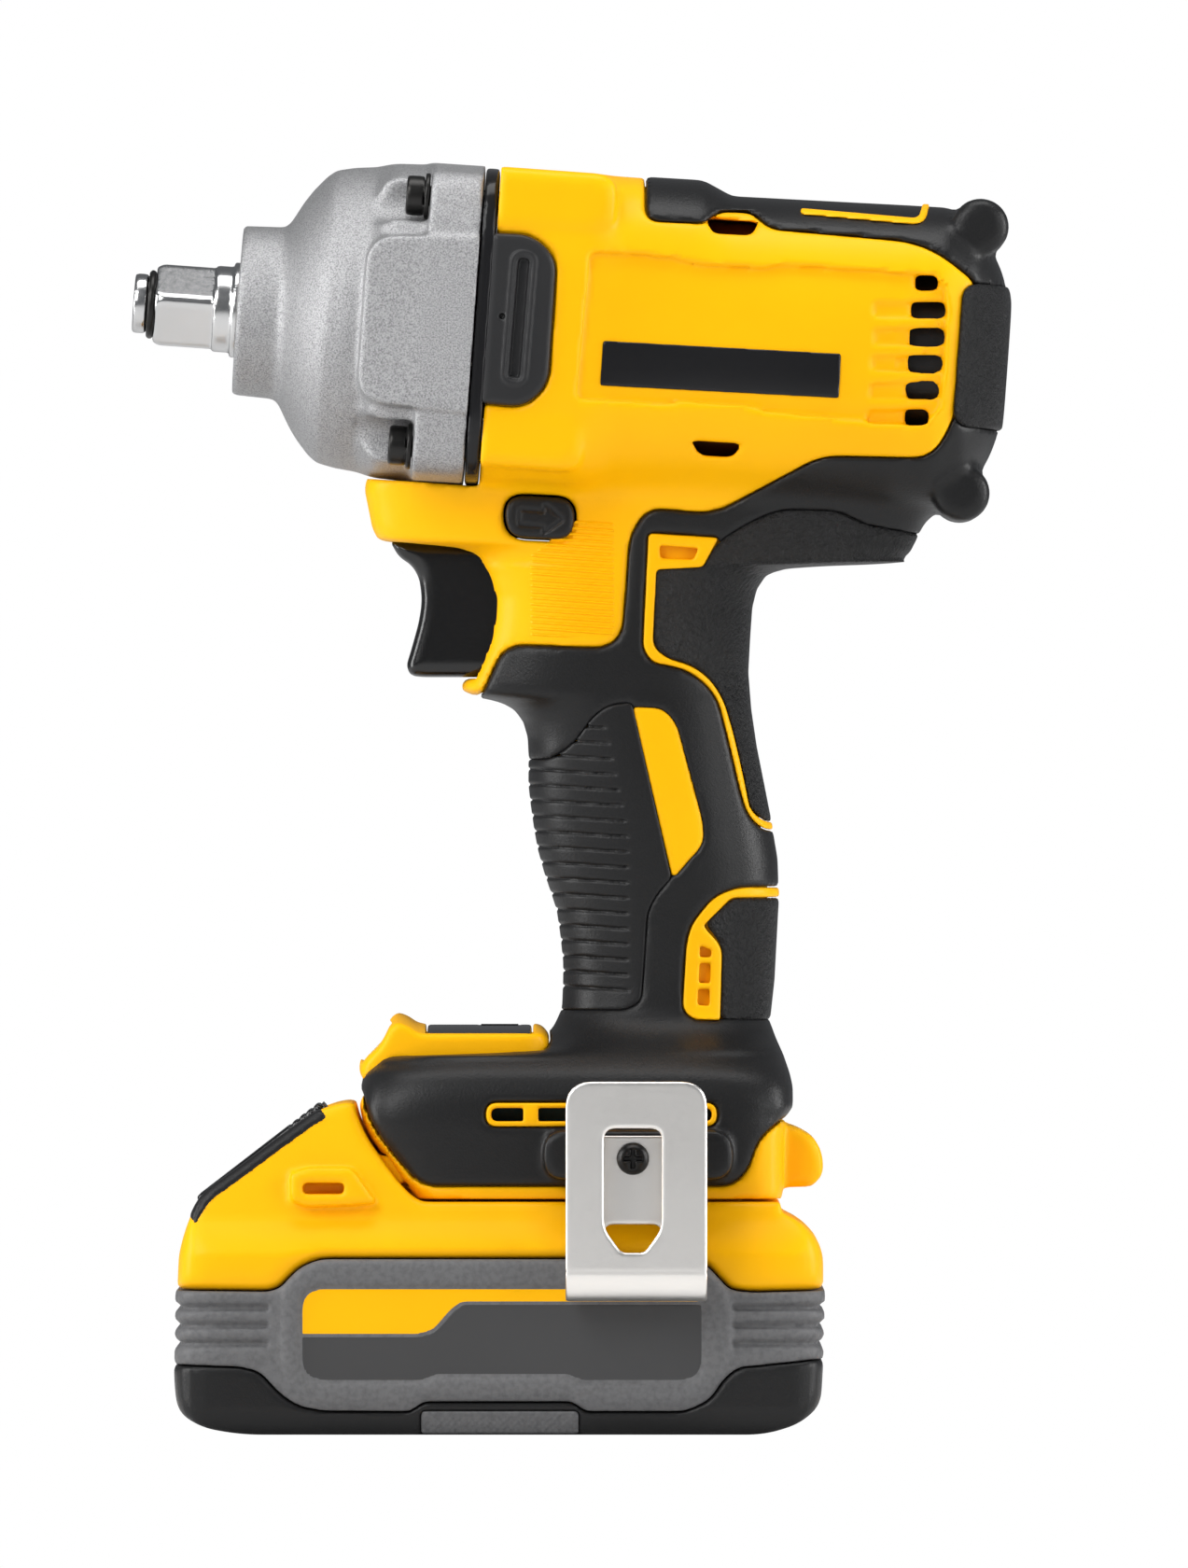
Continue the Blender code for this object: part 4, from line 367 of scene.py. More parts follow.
FRONT = curve([
    (262, -20), (198, -27), (191.8, -27.4), (189.9, -27.6), (182.4, -26.1), (180.2, -25), (179.3, -22),
    (178.7, -12), (177.8, -8.4), (176.7, -6), (173, -3.6), (168.3, -2.6), (163.6, -3), (158.9, -4.1),
    (154.7, -6), (151.7, -7.5), (150.4, -8.1), (149.3, -7.6), (148.5, -5), (147.9, -2), (147.2, 0.6),
    (145.7, 3), (143.3, 4.7), (140.1, 5.6), (135.9, 5.8), (130.7, 5.8), (126.9, 6.2), (121.3, 7),
    (117.5, 7.7), (112.8, 9), (109, 10.3), (105.3, 11.5), (100.6, 12.2), (94.9, 12.8), (91.2, 12.8),
    (85.9, 12.6), (83.7, 11.8), (81.8, 10.9), (79, 8.6), (77.4, 6), (76.4, -3), (76, -21), (75, -25.4),
    (72.4, -27.4), (69.6, -28), (66, -28.6), (63, -28), (59.2, -26.2), (54.9, -23.1), (51.3, -20.6),
    (48.3, -17.8), (46, -16),
], 0.7)
REAR = curve([
    (262, 84), (198, 84.5), (186, 86), (181.4, 84.2), (177.7, 82.3), (176.2, 80.5), (175.3, 77.6),
    (174.9, 62), (174.5, 57), (173, 53.2), (170.1, 51.3), (166.4, 50.4), (160.7, 50), (153.2, 49.6),
    (145.7, 50.2), (138.2, 51.3), (130.7, 52.8), (124.1, 54.1), (115.6, 55.5), (107.7, 55.8),
    (104.3, 55.6), (98.7, 55.3), (91.2, 54.9), (84, 54.1), (82.8, 53.9), (79.5, 55.1), (76.1, 56.6),
    (72.4, 57.9), (69.6, 58.5), (65.8, 58.5), (63.6, 57), (46, 56.6),
], 0.7)
HALF = curve([
    (210, 22), (198, 21), (188, 18.2), (178, 17.5), (150, 17.5), (130, 18), (105, 17.2), (90, 17),
    (84, 17.5), (80, 20.7), (76, 27.1), (72, 31.5), (68, 33), (63, 33.5), (46, 32.8),
], 3.0)
BODY_POWER = curve([
    (210, 4), (178, 4), (168, 3), (150, 2.8), (130, 2.5), (90, 2.5), (80, 3), (75, 5), (63, 10), (46, 12),
], 3.0)
WIDE = curve([
    (-10, 33), (22, 33), (29, 32.4), (45, 31.8), (50, 31.5), (86, 30.5), (94, 29), (100, 26), (104, 21.5),
    (108, 16),
], 2.5)
TOP = curve([
    (-10, 32.4), (3, 32.4), (29, 32.4), (44, 32.6), (50, 29.8), (86, 30.5), (94, 30.6), (100, 27),
    (104, 21), (108, 14),
], 2.0)
BOTTOM = curve([(-10, 31.8), (86, 31.8), (94, 31), (100, 28), (104, 21.5), (108, 14)], 2.0)
HEAD_POWER = curve([(-10, 5), (22, 4.6), (29, 3.2), (45, 2.8), (110, 2.7)], 3.0)
EAR = [
    (50, 62.4, 1), (58.4, 62.2, 3), (63.2, 59.4, 3), (64.8, 56, 2), (64.9, 52, 2), (62.6, 49.6, 1),
    (50, 49.2, 1),
]
BLACK = [
    (29.1, 262, 1), (29.1, 244, 2.6), (41.2, 243.4, 2), (43.8, 246, 2), (50.6, 245.8, 2), (54, 242.4, 3),
    (85.5, 239.6, 10), (96.5, 231, 4), (93.5, 215, 1), (91, 203.5, 6), (86.5, 196.2, 9), (64.5, 196.7, 4),
    (42.9, 185.2, 4), (29.5, 186.2, 5), (26, 181, 4), (24.3, 158, 6), (0.8, 158.8, 4), (-3.4, 149.6, 0.6),
    (-5.2, 148, 0.6), (-9, 146.8, 1), (-9, 120, 1), (6, 82.5, 1), (9, 77.4, 1), (-21.6, 77.8, 1),
    (-40, 79, 1), (-40, 69, 1), (-27.9, 69, 1), (-26.7, 63.9, 2), (-23.9, 59.2, 2), (-20.1, 54.5, 2),
    (-17.3, 51.3, 2), (-14.6, 49.9, 1.6), (46.2, 49.9, 2), (49.6, 53, 3), (51.8, 59.6, 3),
    (56.8, 63.6, 2), (75, 63.8, 1), (75, 160, 1), (120, 168, 1), (120, 262, 1),
]
REAR_PAD = [(93.3, 231.2, 3), (112, 230.4, 1), (112, 201.3, 1), (91.2, 203.1, 3)]
FOOT_SLOT = [(-2, 62.9, 1.4), (-2, 65.6, 1.4), (42.4, 65.6, 1.4), (42.4, 62.9, 1.4)]
PANEL = [
    (17.9, 237.8, 1.5), (34.4, 236.7, 1.5), (38.2, 235.4, 1.5), (53.2, 234.4, 1.5), (56, 235.2, 1.5),
    (82.3, 233.5, 3), (89.4, 232.2, 4), (89.9, 224.7, 3), (88.5, 205.9, 4), (84, 202.6, 3),
    (80.5, 203, 2), (53.2, 205.5, 1.5), (50.4, 206.6, 1.5), (35.9, 207.6, 1.5), (33.5, 207, 1.5),
    (15, 208.1, 1.5),
]
SIDE_PLATE = [
    (-1.8, 241.6, 1), (6.4, 241.2, 5), (11.3, 236.4, 5), (9.6, 211, 5), (4.8, 206.4, 5), (-4.2, 207.2, 1),
]
BEZEL = [
    (-27.8, 72.2, 1), (-28.9, 74.2, 1), (-27.6, 76.4, 1.5), (-24, 80, 1.5), (-22.4, 83.4, 1.5),
    (-21, 84.6, 1.2), (-19, 84, 1.5), (-16.6, 82.3, 1.5), (8, 82.3, 2), (9.8, 80, 2), (9.4, 77.8, 1.5),
    (7.8, 76.8, 2), (0.6, 75.7, 2), (-16.4, 75.7, 2), (-21.4, 77.4, 1),
]
BUTTON = [(1.0, 180.4, 4.1), (0.7, 188.9, 4.1), (14.9, 188.3, 4.1), (14.6, 179.8, 4.1)]
FOOT_FLOOR = 47.3
BODY_TOP = 200
JOINT = 3.3
HEAD_END = 107
HEAD_FLOOR = 32.15
SCREW_LOBES = ((25.8, 6.4, 27), (-22.4, 5.8, 24))
LOBE_HALF_WIDTH = 32.7
BUMPER_HEIGHTS = (27.2, -26.6)
BUMPER_PLACE = 100.4
BUMPER_RADIUS = 5.4
BUMPER_HALF_WIDTH = 20


def body_field(x, y, z, step):
    """Grip, trigger housing and foot."""
    front = FRONT(z).astype(np.float32)
    rear = REAR(z).astype(np.float32)
    power = BODY_POWER(z).astype(np.float32)
    half = HALF(z).astype(np.float32)
    level = bowl(1, (2 * x - front - rear) / (rear - front), y / half, power)
    field = even(level * half, step)
    field = np.maximum(field, FOOT_FLOOR - z)
    return np.maximum(field, z - BODY_TOP)


def head_field(x, y, z, step):
    """Gear case and motor barrel."""
    u = head_u(x, z)
    v = head_v(x, z)
    height = np.where(v > 0, TOP(u), BOTTOM(u)).astype(np.float32)
    wide = WIDE(u).astype(np.float32)
    power = HEAD_POWER(u).astype(np.float32)
    level = bowl(1, y / wide, v / height, power)
    field = even(level * wide, step)
    field = meet(field, u - HEAD_END, 3)
    return meet(field, JOINT - u, 0.8)


def tool_field(x, y, z, step):
    """Whole outer form of the tool without its battery."""
    u = head_u(x, z)
    v = head_v(x, z)
    field = join(body_field(x, y, z, step), head_field(x, y, z, step), 3.5)
    for height, half, end in SCREW_LOBES:
        block = meet(np.abs(v - height) - half, u - end, 5)
        lobe = meet(block, np.abs(y) - LOBE_HALF_WIDTH, 3.0)
        field = join(field, np.maximum(lobe, JOINT - u), 0.9)
    for height in BUMPER_HEIGHTS:
        bumper = np.sqrt((u - BUMPER_PLACE) ** 2 + (v - height) ** 2) - BUMPER_RADIUS
        field = join(field, meet(bumper, np.abs(y) - BUMPER_HALF_WIDTH, 3), 1.6)
    nose = np.maximum(-HEAD_FLOOR - v, u - JOINT)
    return np.maximum(field, -nose)


def vent_slots(x, z):
    """Air slots at the back and beside the fan."""
    slots = []
    for high, low, left, right in (
        (232.9, 230.1, 83.5, 87.8), (227.5, 224.5, 82.7, 89.3), (222.2, 219, 82.7, 89.1),
        (216.8, 213.8, 82.2, 88.7), (211.3, 208.3, 81.8, 88), (205.9, 203, 81.4, 85.9),
    ):
        slots.append([(left, high, 0.5), (right, high, 1.2), (right, low, 1.2), (left, low, 0.5)])
    slots.append([(41.4, 244.4, 0.8), (51.7, 243.8, 0.8), (50.4, 241.2, 1.2), (42.6, 241.6, 1.2)])
    slots.append([(38.4, 199.7, 0.6), (48.3, 199.1, 0.6), (46.6, 196.6, 1.4), (40, 197, 1.4)])
    result = area(slots[0], x, z)
    for slot in slots[1:]:
        result = np.minimum(result, area(slot, x, z))
    return result


def vent_troughs(x, z):
    """Shallow runs that lead the air into the slots at the back."""
    result = np.full(np.broadcast(x, z).shape, 50, dtype=np.float32)
    for high, low, right in (
        (227.5, 224.5, 83.5), (222.2, 219, 83.5), (216.8, 213.8, 83), (211.3, 208.3, 82.6),
        (205.9, 203.2, 82.2),
    ):
        run = [(right - 8.5, high, 0.6), (right, high, 0.6), (right, low, 0.6), (right - 8.5, low, 0.6)]
        result = np.minimum(result, area(run, x, z))
    return result


WALL = 4.8
SKIN_POCKET = 2.0
PANEL_DEPTH = 1.6
TROUGH_DEPTH = 2.5
VENT_DEPTH = 7
PAD_POCKET = 1.3
TRIGGER_LOW = 152
TRIGGER_HIGH = 179.3
TRIGGER_ROOM = 9.3
MOTOR_BORE = 27.2
MOTOR_BORE_END = 93


def bezel_room(x, y, z):
    """Room in the foot for the light bezel."""
    return np.maximum(area(BEZEL, x, z) - 0.2, np.abs(y) - 22.4)


def rail_room(y, z):
    """Room in the foot for the battery's rails."""
    return np.maximum(np.maximum(50.4 - z, z - 56.2), np.abs(y) - 28.3)


def housing_form(x, y, z, step):
    """Left yellow half."""
    form = tool_field(x, y, z, step)
    ear = meet(area(EAR, x, z), np.abs(y) - 20, 2)
    shell = join(form, ear, 1)
    shell = cut(shell, np.maximum(area(BLACK, x, z) - 0.15, -(form + SKIN_POCKET)), 0.4)
    panel = np.maximum(area(PANEL, x, z), y + 10)
    shell = cut(shell, np.maximum(panel, -(form + PANEL_DEPTH)), 0.3)
    troughs = np.maximum(np.maximum(vent_troughs(x, z), y + 8), -(form + TROUGH_DEPTH))
    shell = cut(shell, troughs, 0.4)
    vents = np.maximum(np.maximum(vent_slots(x, z) - 0.15, y + 8), -(form + VENT_DEPTH))
    shell = cut(shell, vents, 0.25)
    slot = np.maximum(area(FOOT_SLOT, x, z), y + 20)
    shell = cut(shell, slot, 0.4)
    plate = np.maximum(area(SIDE_PLATE, x, z) - 0.25, y + 31.2)
    shell = cut(shell, plate, 0.4)
    shell = cut(shell, np.maximum(area(BUTTON, x, z) - 0.4, -(form + 8)), 0.8)
    rear_pad = np.maximum(area(REAR_PAD, x, z) - 0.2, -(form + PAD_POCKET))
    shell = np.maximum(shell, -rear_pad)
    shell = np.maximum(shell, -bezel_room(x, y, z))
    opening = np.maximum(np.maximum(TRIGGER_LOW - z, z - TRIGGER_HIGH), np.abs(y) - TRIGGER_ROOM)
    shell = cut(shell, np.maximum(opening, x - 13.2), 0.8)
    neck = np.maximum(z - 51, np.abs(y) - 24)
    shell = np.maximum(shell, -np.maximum(np.minimum(rail_room(y, z), neck), x - 49))
    bore = np.sqrt(y * y + head_v(x, z) ** 2) - MOTOR_BORE
    shell = np.maximum(shell, -np.maximum(bore, head_u(x, z) - MOTOR_BORE_END))
    shell = np.maximum(shell, -(form + WALL))
    return np.maximum(shell, y + SPLIT_GAP)


SCREW_HOLES = [(-19, 187.5, 11.6), (56, 186, 11.6), (52.4, 66, 24)]
HOUSINGS = solid(
    "housing_shell_left", housing_form, (-31, -36, 45), (109, 0.6, 259), GRID, "tool",
    ("housing_left", "housing_right"), "housing_shell_right", SCREW_HOLES,
)


def finish(
    name, colour, dark, rough, bump, grain, metal=0.0, coat=0.0, strength=0.25, shine=0.25, drift=28.0,
):
    """Moulded or cast surface: fine grain bump, faint colour drift and uneven sheen."""
    made = bpy.data.materials.new(name)
    made.use_nodes = True
    nodes = made.node_tree.nodes
    links = made.node_tree.links
    shader = nodes["Principled BSDF"]
    place = nodes.new("ShaderNodeTexCoord")
    fine = nodes.new("ShaderNodeTexNoise")
    fine.inputs["Scale"].default_value = grain
    fine.inputs["Detail"].default_value = 4.0
    fine.inputs["Roughness"].default_value = 0.6
    broad = nodes.new("ShaderNodeTexNoise")
    broad.inputs["Scale"].default_value = drift
    broad.inputs["Detail"].default_value = 3.0
    links.new(place.outputs["Object"], fine.inputs["Vector"])
    links.new(place.outputs["Object"], broad.inputs["Vector"])
    shade = nodes.new("ShaderNodeMix")
    shade.data_type = "RGBA"
    shade.inputs[6].default_value = (*dark, 1)
    shade.inputs[7].default_value = (*colour, 1)
    ease = nodes.new("ShaderNodeMapRange")
    ease.inputs["From Min"].default_value = 0.25
    ease.inputs["From Max"].default_value = 0.6
    links.new(broad.outputs["Fac"], ease.inputs["Value"])
    links.new(ease.outputs["Result"], shade.inputs[0])
    links.new(shade.outputs[2], shader.inputs["Base Color"])
    sheen = nodes.new("ShaderNodeMapRange")
    sheen.inputs["To Min"].default_value = rough - 0.06
    sheen.inputs["To Max"].default_value = rough + 0.06
    links.new(fine.outputs["Fac"], sheen.inputs["Value"])
    links.new(sheen.outputs["Result"], shader.inputs["Roughness"])
    lift = nodes.new("ShaderNodeBump")
    lift.inputs["Strength"].default_value = strength
    lift.inputs["Distance"].default_value = bump
    links.new(fine.outputs["Fac"], lift.inputs["Height"])
    links.new(lift.outputs["Normal"], shader.inputs["Normal"])
    shader.inputs["Metallic"].default_value = metal
    shader.inputs["Specular IOR Level"].default_value = shine
    shader.inputs["Coat Weight"].default_value = coat
    return made


YELLOW = finish(
    "moulded_yellow", (0.99, 0.485, 0.0006), (0.96, 0.455, 0.0005), 0.38, 0.00008, 2600, shine=0.14,
)
for piece in HOUSINGS:
    piece.data.materials.append(YELLOW)

# Grip lines: yellow parts of the housing that show through the black skin, in the same nylon.
# Lines and framed windows on the grip, a framed vent on the foot, a line on top of the head,
# and fine thumb ribs under the direction button, all moulded in one with their half.
LINE_PROUD = 0.35
UPPER_RIBBON = [
    (29.7, 181.2, 1), (43.8, 180.3, 0.8), (40.6, 174.4, 0.8), (31.3, 173.9, 0.8), (30.5, 158.4, 2),
    (33.5, 155.9, 2), (38.2, 154.6, 4), (42, 151.9, 4), (44.8, 147.6, 6), (47, 140.1, 6),
    (49.1, 130.7, 4), (50, 126, 3), (51.4, 124.2, 2), (53.6, 123, 2), (75, 122.8, 0.5), (75, 121.4, 0.5),
    (53.2, 121.5, 2), (50.9, 123.1, 2), (49.4, 125.4, 2), (48.3, 129, 3), (46, 138.9, 6),
    (43.8, 147.6, 6), (41, 151.3, 4), (37.2, 153.8, 4), (33.5, 154.7, 3), (30.6, 155.2, 3),
    (28.6, 158, 3),
]
LOWER_RIBBON = [
    (75, 109.8, 0.5), (47.6, 109.8, 3), (42.8, 107.9, 4), (38.5, 102.5, 4), (37.4, 98.7, 4),
    (36.6, 85.4, 2), (38.6, 83.3, 2), (44.1, 83.1, 0.6), (44.5, 97.8, 2), (41.2, 101.5, 2),
    (40.8, 102.2, 0.8), (46.4, 107.8, 1), (75, 108.1, 0.5),
]
FOOT_VENT = [(-3, 61.9, 2.4), (-3, 66.6, 2.4), (43.4, 66.6, 2.4), (43.4, 61.9, 2.4)]
TOP_LINE = [
    (60.4, 245.6, 0.4), (83.6, 243.5, 2), (85.4, 244.4, 2), (86.4, 248, 0.4), (85.4, 248.4, 0.4),
    (84.4, 245.2, 1), (83.4, 244.6, 1), (60.5, 246.6, 0.4),
]
WINDOWS = [
    [(31.9, 178.8, 0.6), (39.8, 178.2, 0.6), (38.7, 175.9, 0.6), (32.1, 176.2, 0.6)],
    [(40.1, 98.2, 0.5), (42.4, 97.2, 0.5), (42.2, 95.8, 0.3), (40, 95.8, 0.3)],
    [(40, 94.6, 0.3), (42.2, 94.6, 0.3), (42.1, 90.6, 0.3), (39.8, 90.6, 0.3)],
    [(39.7, 89.4, 0.3), (42, 89.4, 0.3), (41.9, 86, 0.5), (39.5, 86.2, 0.5)],
]


def line_form(x, y, z, step):
    """Left lines and windows on the grip."""
    form = tool_field(x, y, z, step)
    flat = np.minimum(area(UPPER_RIBBON, x, z), area(LOWER_RIBBON, x, z))
    for window in WINDOWS:
        flat = np.maximum(flat, -area(window, x, z))
    line = meet(form - LINE_PROUD, flat, 0.4)
    line = np.maximum(line, -(form + 1.9))
    return np.maximum(line, y + SPLIT_GAP)


LINES = solid(
    "grip_lines_left", line_form, (27, -20, 81), (57, 0.6, 183), 0.4, "tool", (None, None),
    "grip_lines_right",
)


def vent_frame_form(x, y, z, step):
    """Left vent frame on the foot, with one bar across it."""
    form = tool_field(x, y, z, step)
    flat = np.maximum(area(FOOT_VENT, x, z), -area(FOOT_SLOT, x, z))
    flat = np.minimum(flat, np.maximum(area(FOOT_VENT, x, z), np.abs(x - 6) - 1.5))
    line = meet(form - LINE_PROUD, flat, 0.4)
    line = np.maximum(line, -(form + 3.4))
    return np.maximum(line, y + 20)


VENT_FRAMES = solid(
    "vent_frame_left", vent_frame_form, (-5, -36, 60), (46, -28, 69), 0.4, "tool", (None, None),
    "vent_frame_right",
)


def top_line_form(x, y, z, step):
    """Left thin line along the top of the head."""
    form = tool_field(x, y, z, step)
    line = meet(form - 0.8, area(TOP_LINE, x, z) - 0.15, 0.3)
    line = np.maximum(line, -(form + 1.0))
    return np.maximum(line, y + 4)


TOP_LINES = solid(
    "top_line_left", top_line_form, (59, -26, 241), (88, -3, 252), 0.4, "tool", (None, None),
    "top_line_right",
)
THUMB_RIB_PITCH = 1.22
THUMB_RIB_HEIGHT = 0.42


def thumb_rib_form(x, y, z, step):
    """Left fine ribs under the direction button."""
    form = tool_field(x, y, z, step)
    left_end = 5.8 + 1.3 * np.maximum(z - 176.7, 0)
    ends = np.minimum(np.minimum(x - left_end, 22.8 - x), np.minimum(z - 160.2, 183.8 - z))
    wave = np.sin((z + 0.07 * x) * 2 * math.pi / THUMB_RIB_PITCH)
    ribs = form - THUMB_RIB_HEIGHT * wave * np.clip(2 * ends, 0, 1)
    return np.maximum(np.maximum(ribs, -ends), -(form + 0.9))


THUMB_RIBS = solid(
    "thumb_ribs_left", thumb_rib_form, (4, -19.5, 159), (24, -13, 185), 0.22, "tool", (None, None),
    "thumb_ribs_right",
)
for piece in LINES + VENT_FRAMES + TOP_LINES + THUMB_RIBS:
    piece.data.materials.append(YELLOW)

# Overmoulds: black soft elastomer skins moulded over the back, the grip and the foot of each half.
# They stand a hair proud of the yellow, and carry the boss that the belt hook screws against.
SKIN_PROUD = 0.3
SKIN_THICKNESS = 1.8
BOSS_FACE = 41.1
FINGER = [
    (-9, 135.5, 1), (10, 135.4, 2), (14.8, 138.6, 5), (18.4, 143.8, 5), (21.4, 146.3, 3),
    (26.2, 146.9, 1), (34.1, 111.8, 1), (31.4, 109, 3), (29.2, 105, 5), (28.6, 95, 4), (28, 87, 2),
    (25.2, 85.4, 1.5), (-9, 85.4, 1),
]
BADGE = [
    (26.7, 146, 0.8), (32.6, 145.7, 3), (35.2, 142.6, 3), (40.4, 123, 3), (40.6, 118.8, 3),
    (34.7, 112, 0.8),
]
PALM = [
    (31.4, 173.7, 0.8), (40.9, 174.2, 1), (43.7, 179.2, 3), (50, 183.2, 4), (56.2, 185.8, 3),
    (68.2, 185.5, 3), (73, 182.8, 3), (84.2, 180.9, 2), (95, 180.6, 1), (95, 150, 1), (75, 150, 1),
    (75, 123.1, 0.5), (53.6, 123.3, 2), (51.7, 124.6, 2), (50.3, 126.4, 3), (49.4, 131, 4),
    (47.3, 140.3, 6), (45.1, 147.8, 6), (42.2, 152.3, 4), (38.4, 155, 4), (33.6, 156.3, 2),
    (30.9, 158.6, 2),
]
HEEL = [
    (75, 107.7, 0.5), (46.7, 107.4, 1), (41.4, 102.7, 1), (44.8, 98, 2), (44.4, 83.5, 1), (75, 83.2, 0.5),
]
BOSS = [(8.5, 51.3, 4.6), (8.5, 61.1, 4.6), (46.6, 61.1, 4.6), (46.6, 51.3, 4.6)]


def ribbons(x, z):
    """Yellow lines and frames that show through the black skin."""
    lines = np.minimum(area(UPPER_RIBBON, x, z), area(LOWER_RIBBON, x, z))
    return np.minimum(lines, area(FOOT_VENT, x, z))


def overmould_form(x, y, z, step):
    """Left black skin."""
    form = tool_field(x, y, z, step)
    inlays = np.minimum(np.minimum(area(FINGER, x, z), area(PALM, x, z)), area(HEEL, x, z))
    inlays = np.minimum(np.minimum(inlays, area(BADGE, x, z)), ribbons(x, z) - 0.05)
    skin = meet(form - SKIN_PROUD, area(BLACK, x, z) + 0.05, 0.8)
    skin = cut(skin, inlays - 0.15, 0.6)
    boss = meet(area(BOSS, x, z), -BOSS_FACE - y, 1.2)
    skin = join(skin, np.maximum(boss, y + 30), 1.2)
    skin = np.maximum(skin, -(form + SKIN_THICKNESS))
    rear_pad = np.maximum(area(REAR_PAD, x, z) - 0.2, -(form + 1.2))
    skin = np.maximum(skin, -rear_pad)
    skin = np.maximum(skin, -bezel_room(x, y, z))
    skin = np.maximum(skin, -rail_room(y, z))
    return np.maximum(skin, y + SPLIT_GAP)


OVERMOULDS = solid(
    "overmould_skin_left", overmould_form, (-31, -43, 48), (109, 0.6, 259), GRID, "tool",
    ("overmould_left", "overmould_right"), "overmould_skin_right", SCREW_HOLES,
)
SOFT_BLACK = finish(
    "soft_black", (0.012, 0.012, 0.0124), (0.0085, 0.0085, 0.0088), 0.36, 0.00014, 2000, strength=0.5,
    shine=0.26,
)
for piece in OVERMOULDS:
    piece.data.materials.append(SOFT_BLACK)

# Grip pads: softer inlays, the finger pad with cut ribs and the palm, heel and rear pads leather-grained.
# They are moulded into pockets in the black skin and lap over its edges.
PAD_LAP = 0.3
FINGER_RIB_PITCH = 3.1
FINGER_RIB_DEPTH = 0.5


def finger_form(x, y, z, step):
    """Left finger pad with its ribs."""
    form = tool_field(x, y, z, step)
    pad = meet(form - 0.35, area(FINGER, x, z) - PAD_LAP, 0.8)
    wave = np.sin((z + 0.06 * x) * 2 * math.pi / FINGER_RIB_PITCH)
    rib_end = np.minimum(20.5 - 0.22 * (z - 146.9), 26.2)
    ends = np.clip(rib_end - x, 0, 1) * np.clip(z - 87.5, 0, 1) * np.clip(144.5 - z, 0, 1)
    pad = pad + FINGER_RIB_DEPTH * np.maximum(wave, 0) ** 9 * ends
    pad = np.maximum(pad, -(form + 1.6))
    return np.maximum(pad, y + SPLIT_GAP)


FINGERS = solid(
    "finger_inlay_left", finger_form, (2, -20, 84), (36, 0.6, 149), 0.3, "tool",
    ("finger_pad_left", "finger_pad_right"), "finger_inlay_right",
)


def inlay(corners, proud):
    """Field maker for a plain inlay over an outline."""
    def form_of(x, y, z, step):
        form = tool_field(x, y, z, step)
        pad = meet(form - proud, area(corners, x, z) - PAD_LAP, 0.8)
        pad = np.maximum(pad, -(form + 1.0))
        return np.maximum(pad, y + SPLIT_GAP)
    return form_of


PALMS = solid(
    "palm_inlay_left", inlay(PALM, 0.3), (29, -20, 121), (90, 0.6, 189), 0.6, "tool",
    ("palm_pad_left", "palm_pad_right"), "palm_inlay_right", SCREW_HOLES,
)
HEELS = solid(
    "heel_inlay_left", inlay(HEEL, 0.3), (40, -20, 82), (58, 0.6, 110), 0.6, "tool",
    ("heel_pad_left", "heel_pad_right"), "heel_inlay_right",
)
REARS = solid(
    "rear_bumper_left", inlay(REAR_PAD, 0.9), (89, -32, 199), (106, 0.6, 235), 0.6, "tool",
    ("rear_pad_left", "rear_pad_right"), "rear_bumper_right",
)
BADGES = solid(
    "grip_inlay_left", inlay(BADGE, 0.2), (25, -20, 110), (43, 0.6, 148), 0.5, "tool",
    ("grip_badge_left", "grip_badge_right"), "grip_inlay_right",
)
for piece in BADGES:
    piece.data.materials.append(YELLOW)
RIB_RUBBER = finish(
    "rib_rubber", (0.011, 0.011, 0.0114), (0.008, 0.008, 0.0083), 0.4, 0.00012, 1800, strength=0.5,
    shine=0.26,
)
LEATHER = finish(
    "pad_rubber", (0.011, 0.011, 0.0114), (0.005, 0.005, 0.0053), 0.34, 0.0012, 1100, strength=1.0,
    shine=0.26, drift=900,
)
for piece in FINGERS:
    piece.data.materials.append(RIB_RUBBER)
for piece in PALMS + HEELS + REARS:
    piece.data.materials.append(LEATHER)

# Shade sleeve: thin black tube slipped round the fan, a dark sheet put in as painted shade for the inside
# of the tool.
# It shows as the dark behind the air slots.
SLEEVE_RADIUS = 24.9
SLEEVE_HALF_WALL = 0.5


def shade_sleeve_form(x, y, z, step):
    """Black tube between the fan and the housing, painted shade behind the air slots."""
    u = head_u(x, z)
    v = head_v(x, z)
    wall = np.abs(np.sqrt(y * y + v * v) - SLEEVE_RADIUS) - SLEEVE_HALF_WALL
    return np.maximum(wall, np.abs(u - 86.5) - 11)


# Black tube that paints the shade seen through the air slots.
SHADE_SLEEVE = solid(
    "shade_sleeve", shade_sleeve_form, (66, -27, 187), (97, 27, 248), 0.6, "tool", (None,),
)[0]
SHADE_SLEEVE.data.materials.append(SOFT_BLACK)

# Panel plates: plain gloss black plastic plates, one in the recess on each side of the motor.
# They are die cut and glued to the floor of the recess.
PLATE_TOP = 1.2
PLATE_FOOT = 2.0
PLATE = [(20.5, 219.8, 0.5), (68.4, 217.2, 0.5), (67.9, 208.3, 0.5), (19.9, 210.8, 0.5)]


def sticker_form(x, y, z, step):
    """Left plate."""
    form = tool_field(x, y, z, step)
    sheet = np.maximum(np.maximum(form + PLATE_TOP, area(PLATE, x, z)), -(form + PLATE_FOOT))
    return np.maximum(sheet, y + 15)


STICKERS = solid(
    "motor_plate_left", sticker_form, (18, -34, 206), (70, -24, 222), 0.35, "tool", (None, None),
    "motor_plate_right",
)
GLOSS = finish(
    "gloss_black_plastic", (0.012, 0.012, 0.013), (0.009, 0.009, 0.01), 0.2, 0.00003, 1500, strength=0.1,
)
for piece in STICKERS:
    piece.data.materials.append(GLOSS)

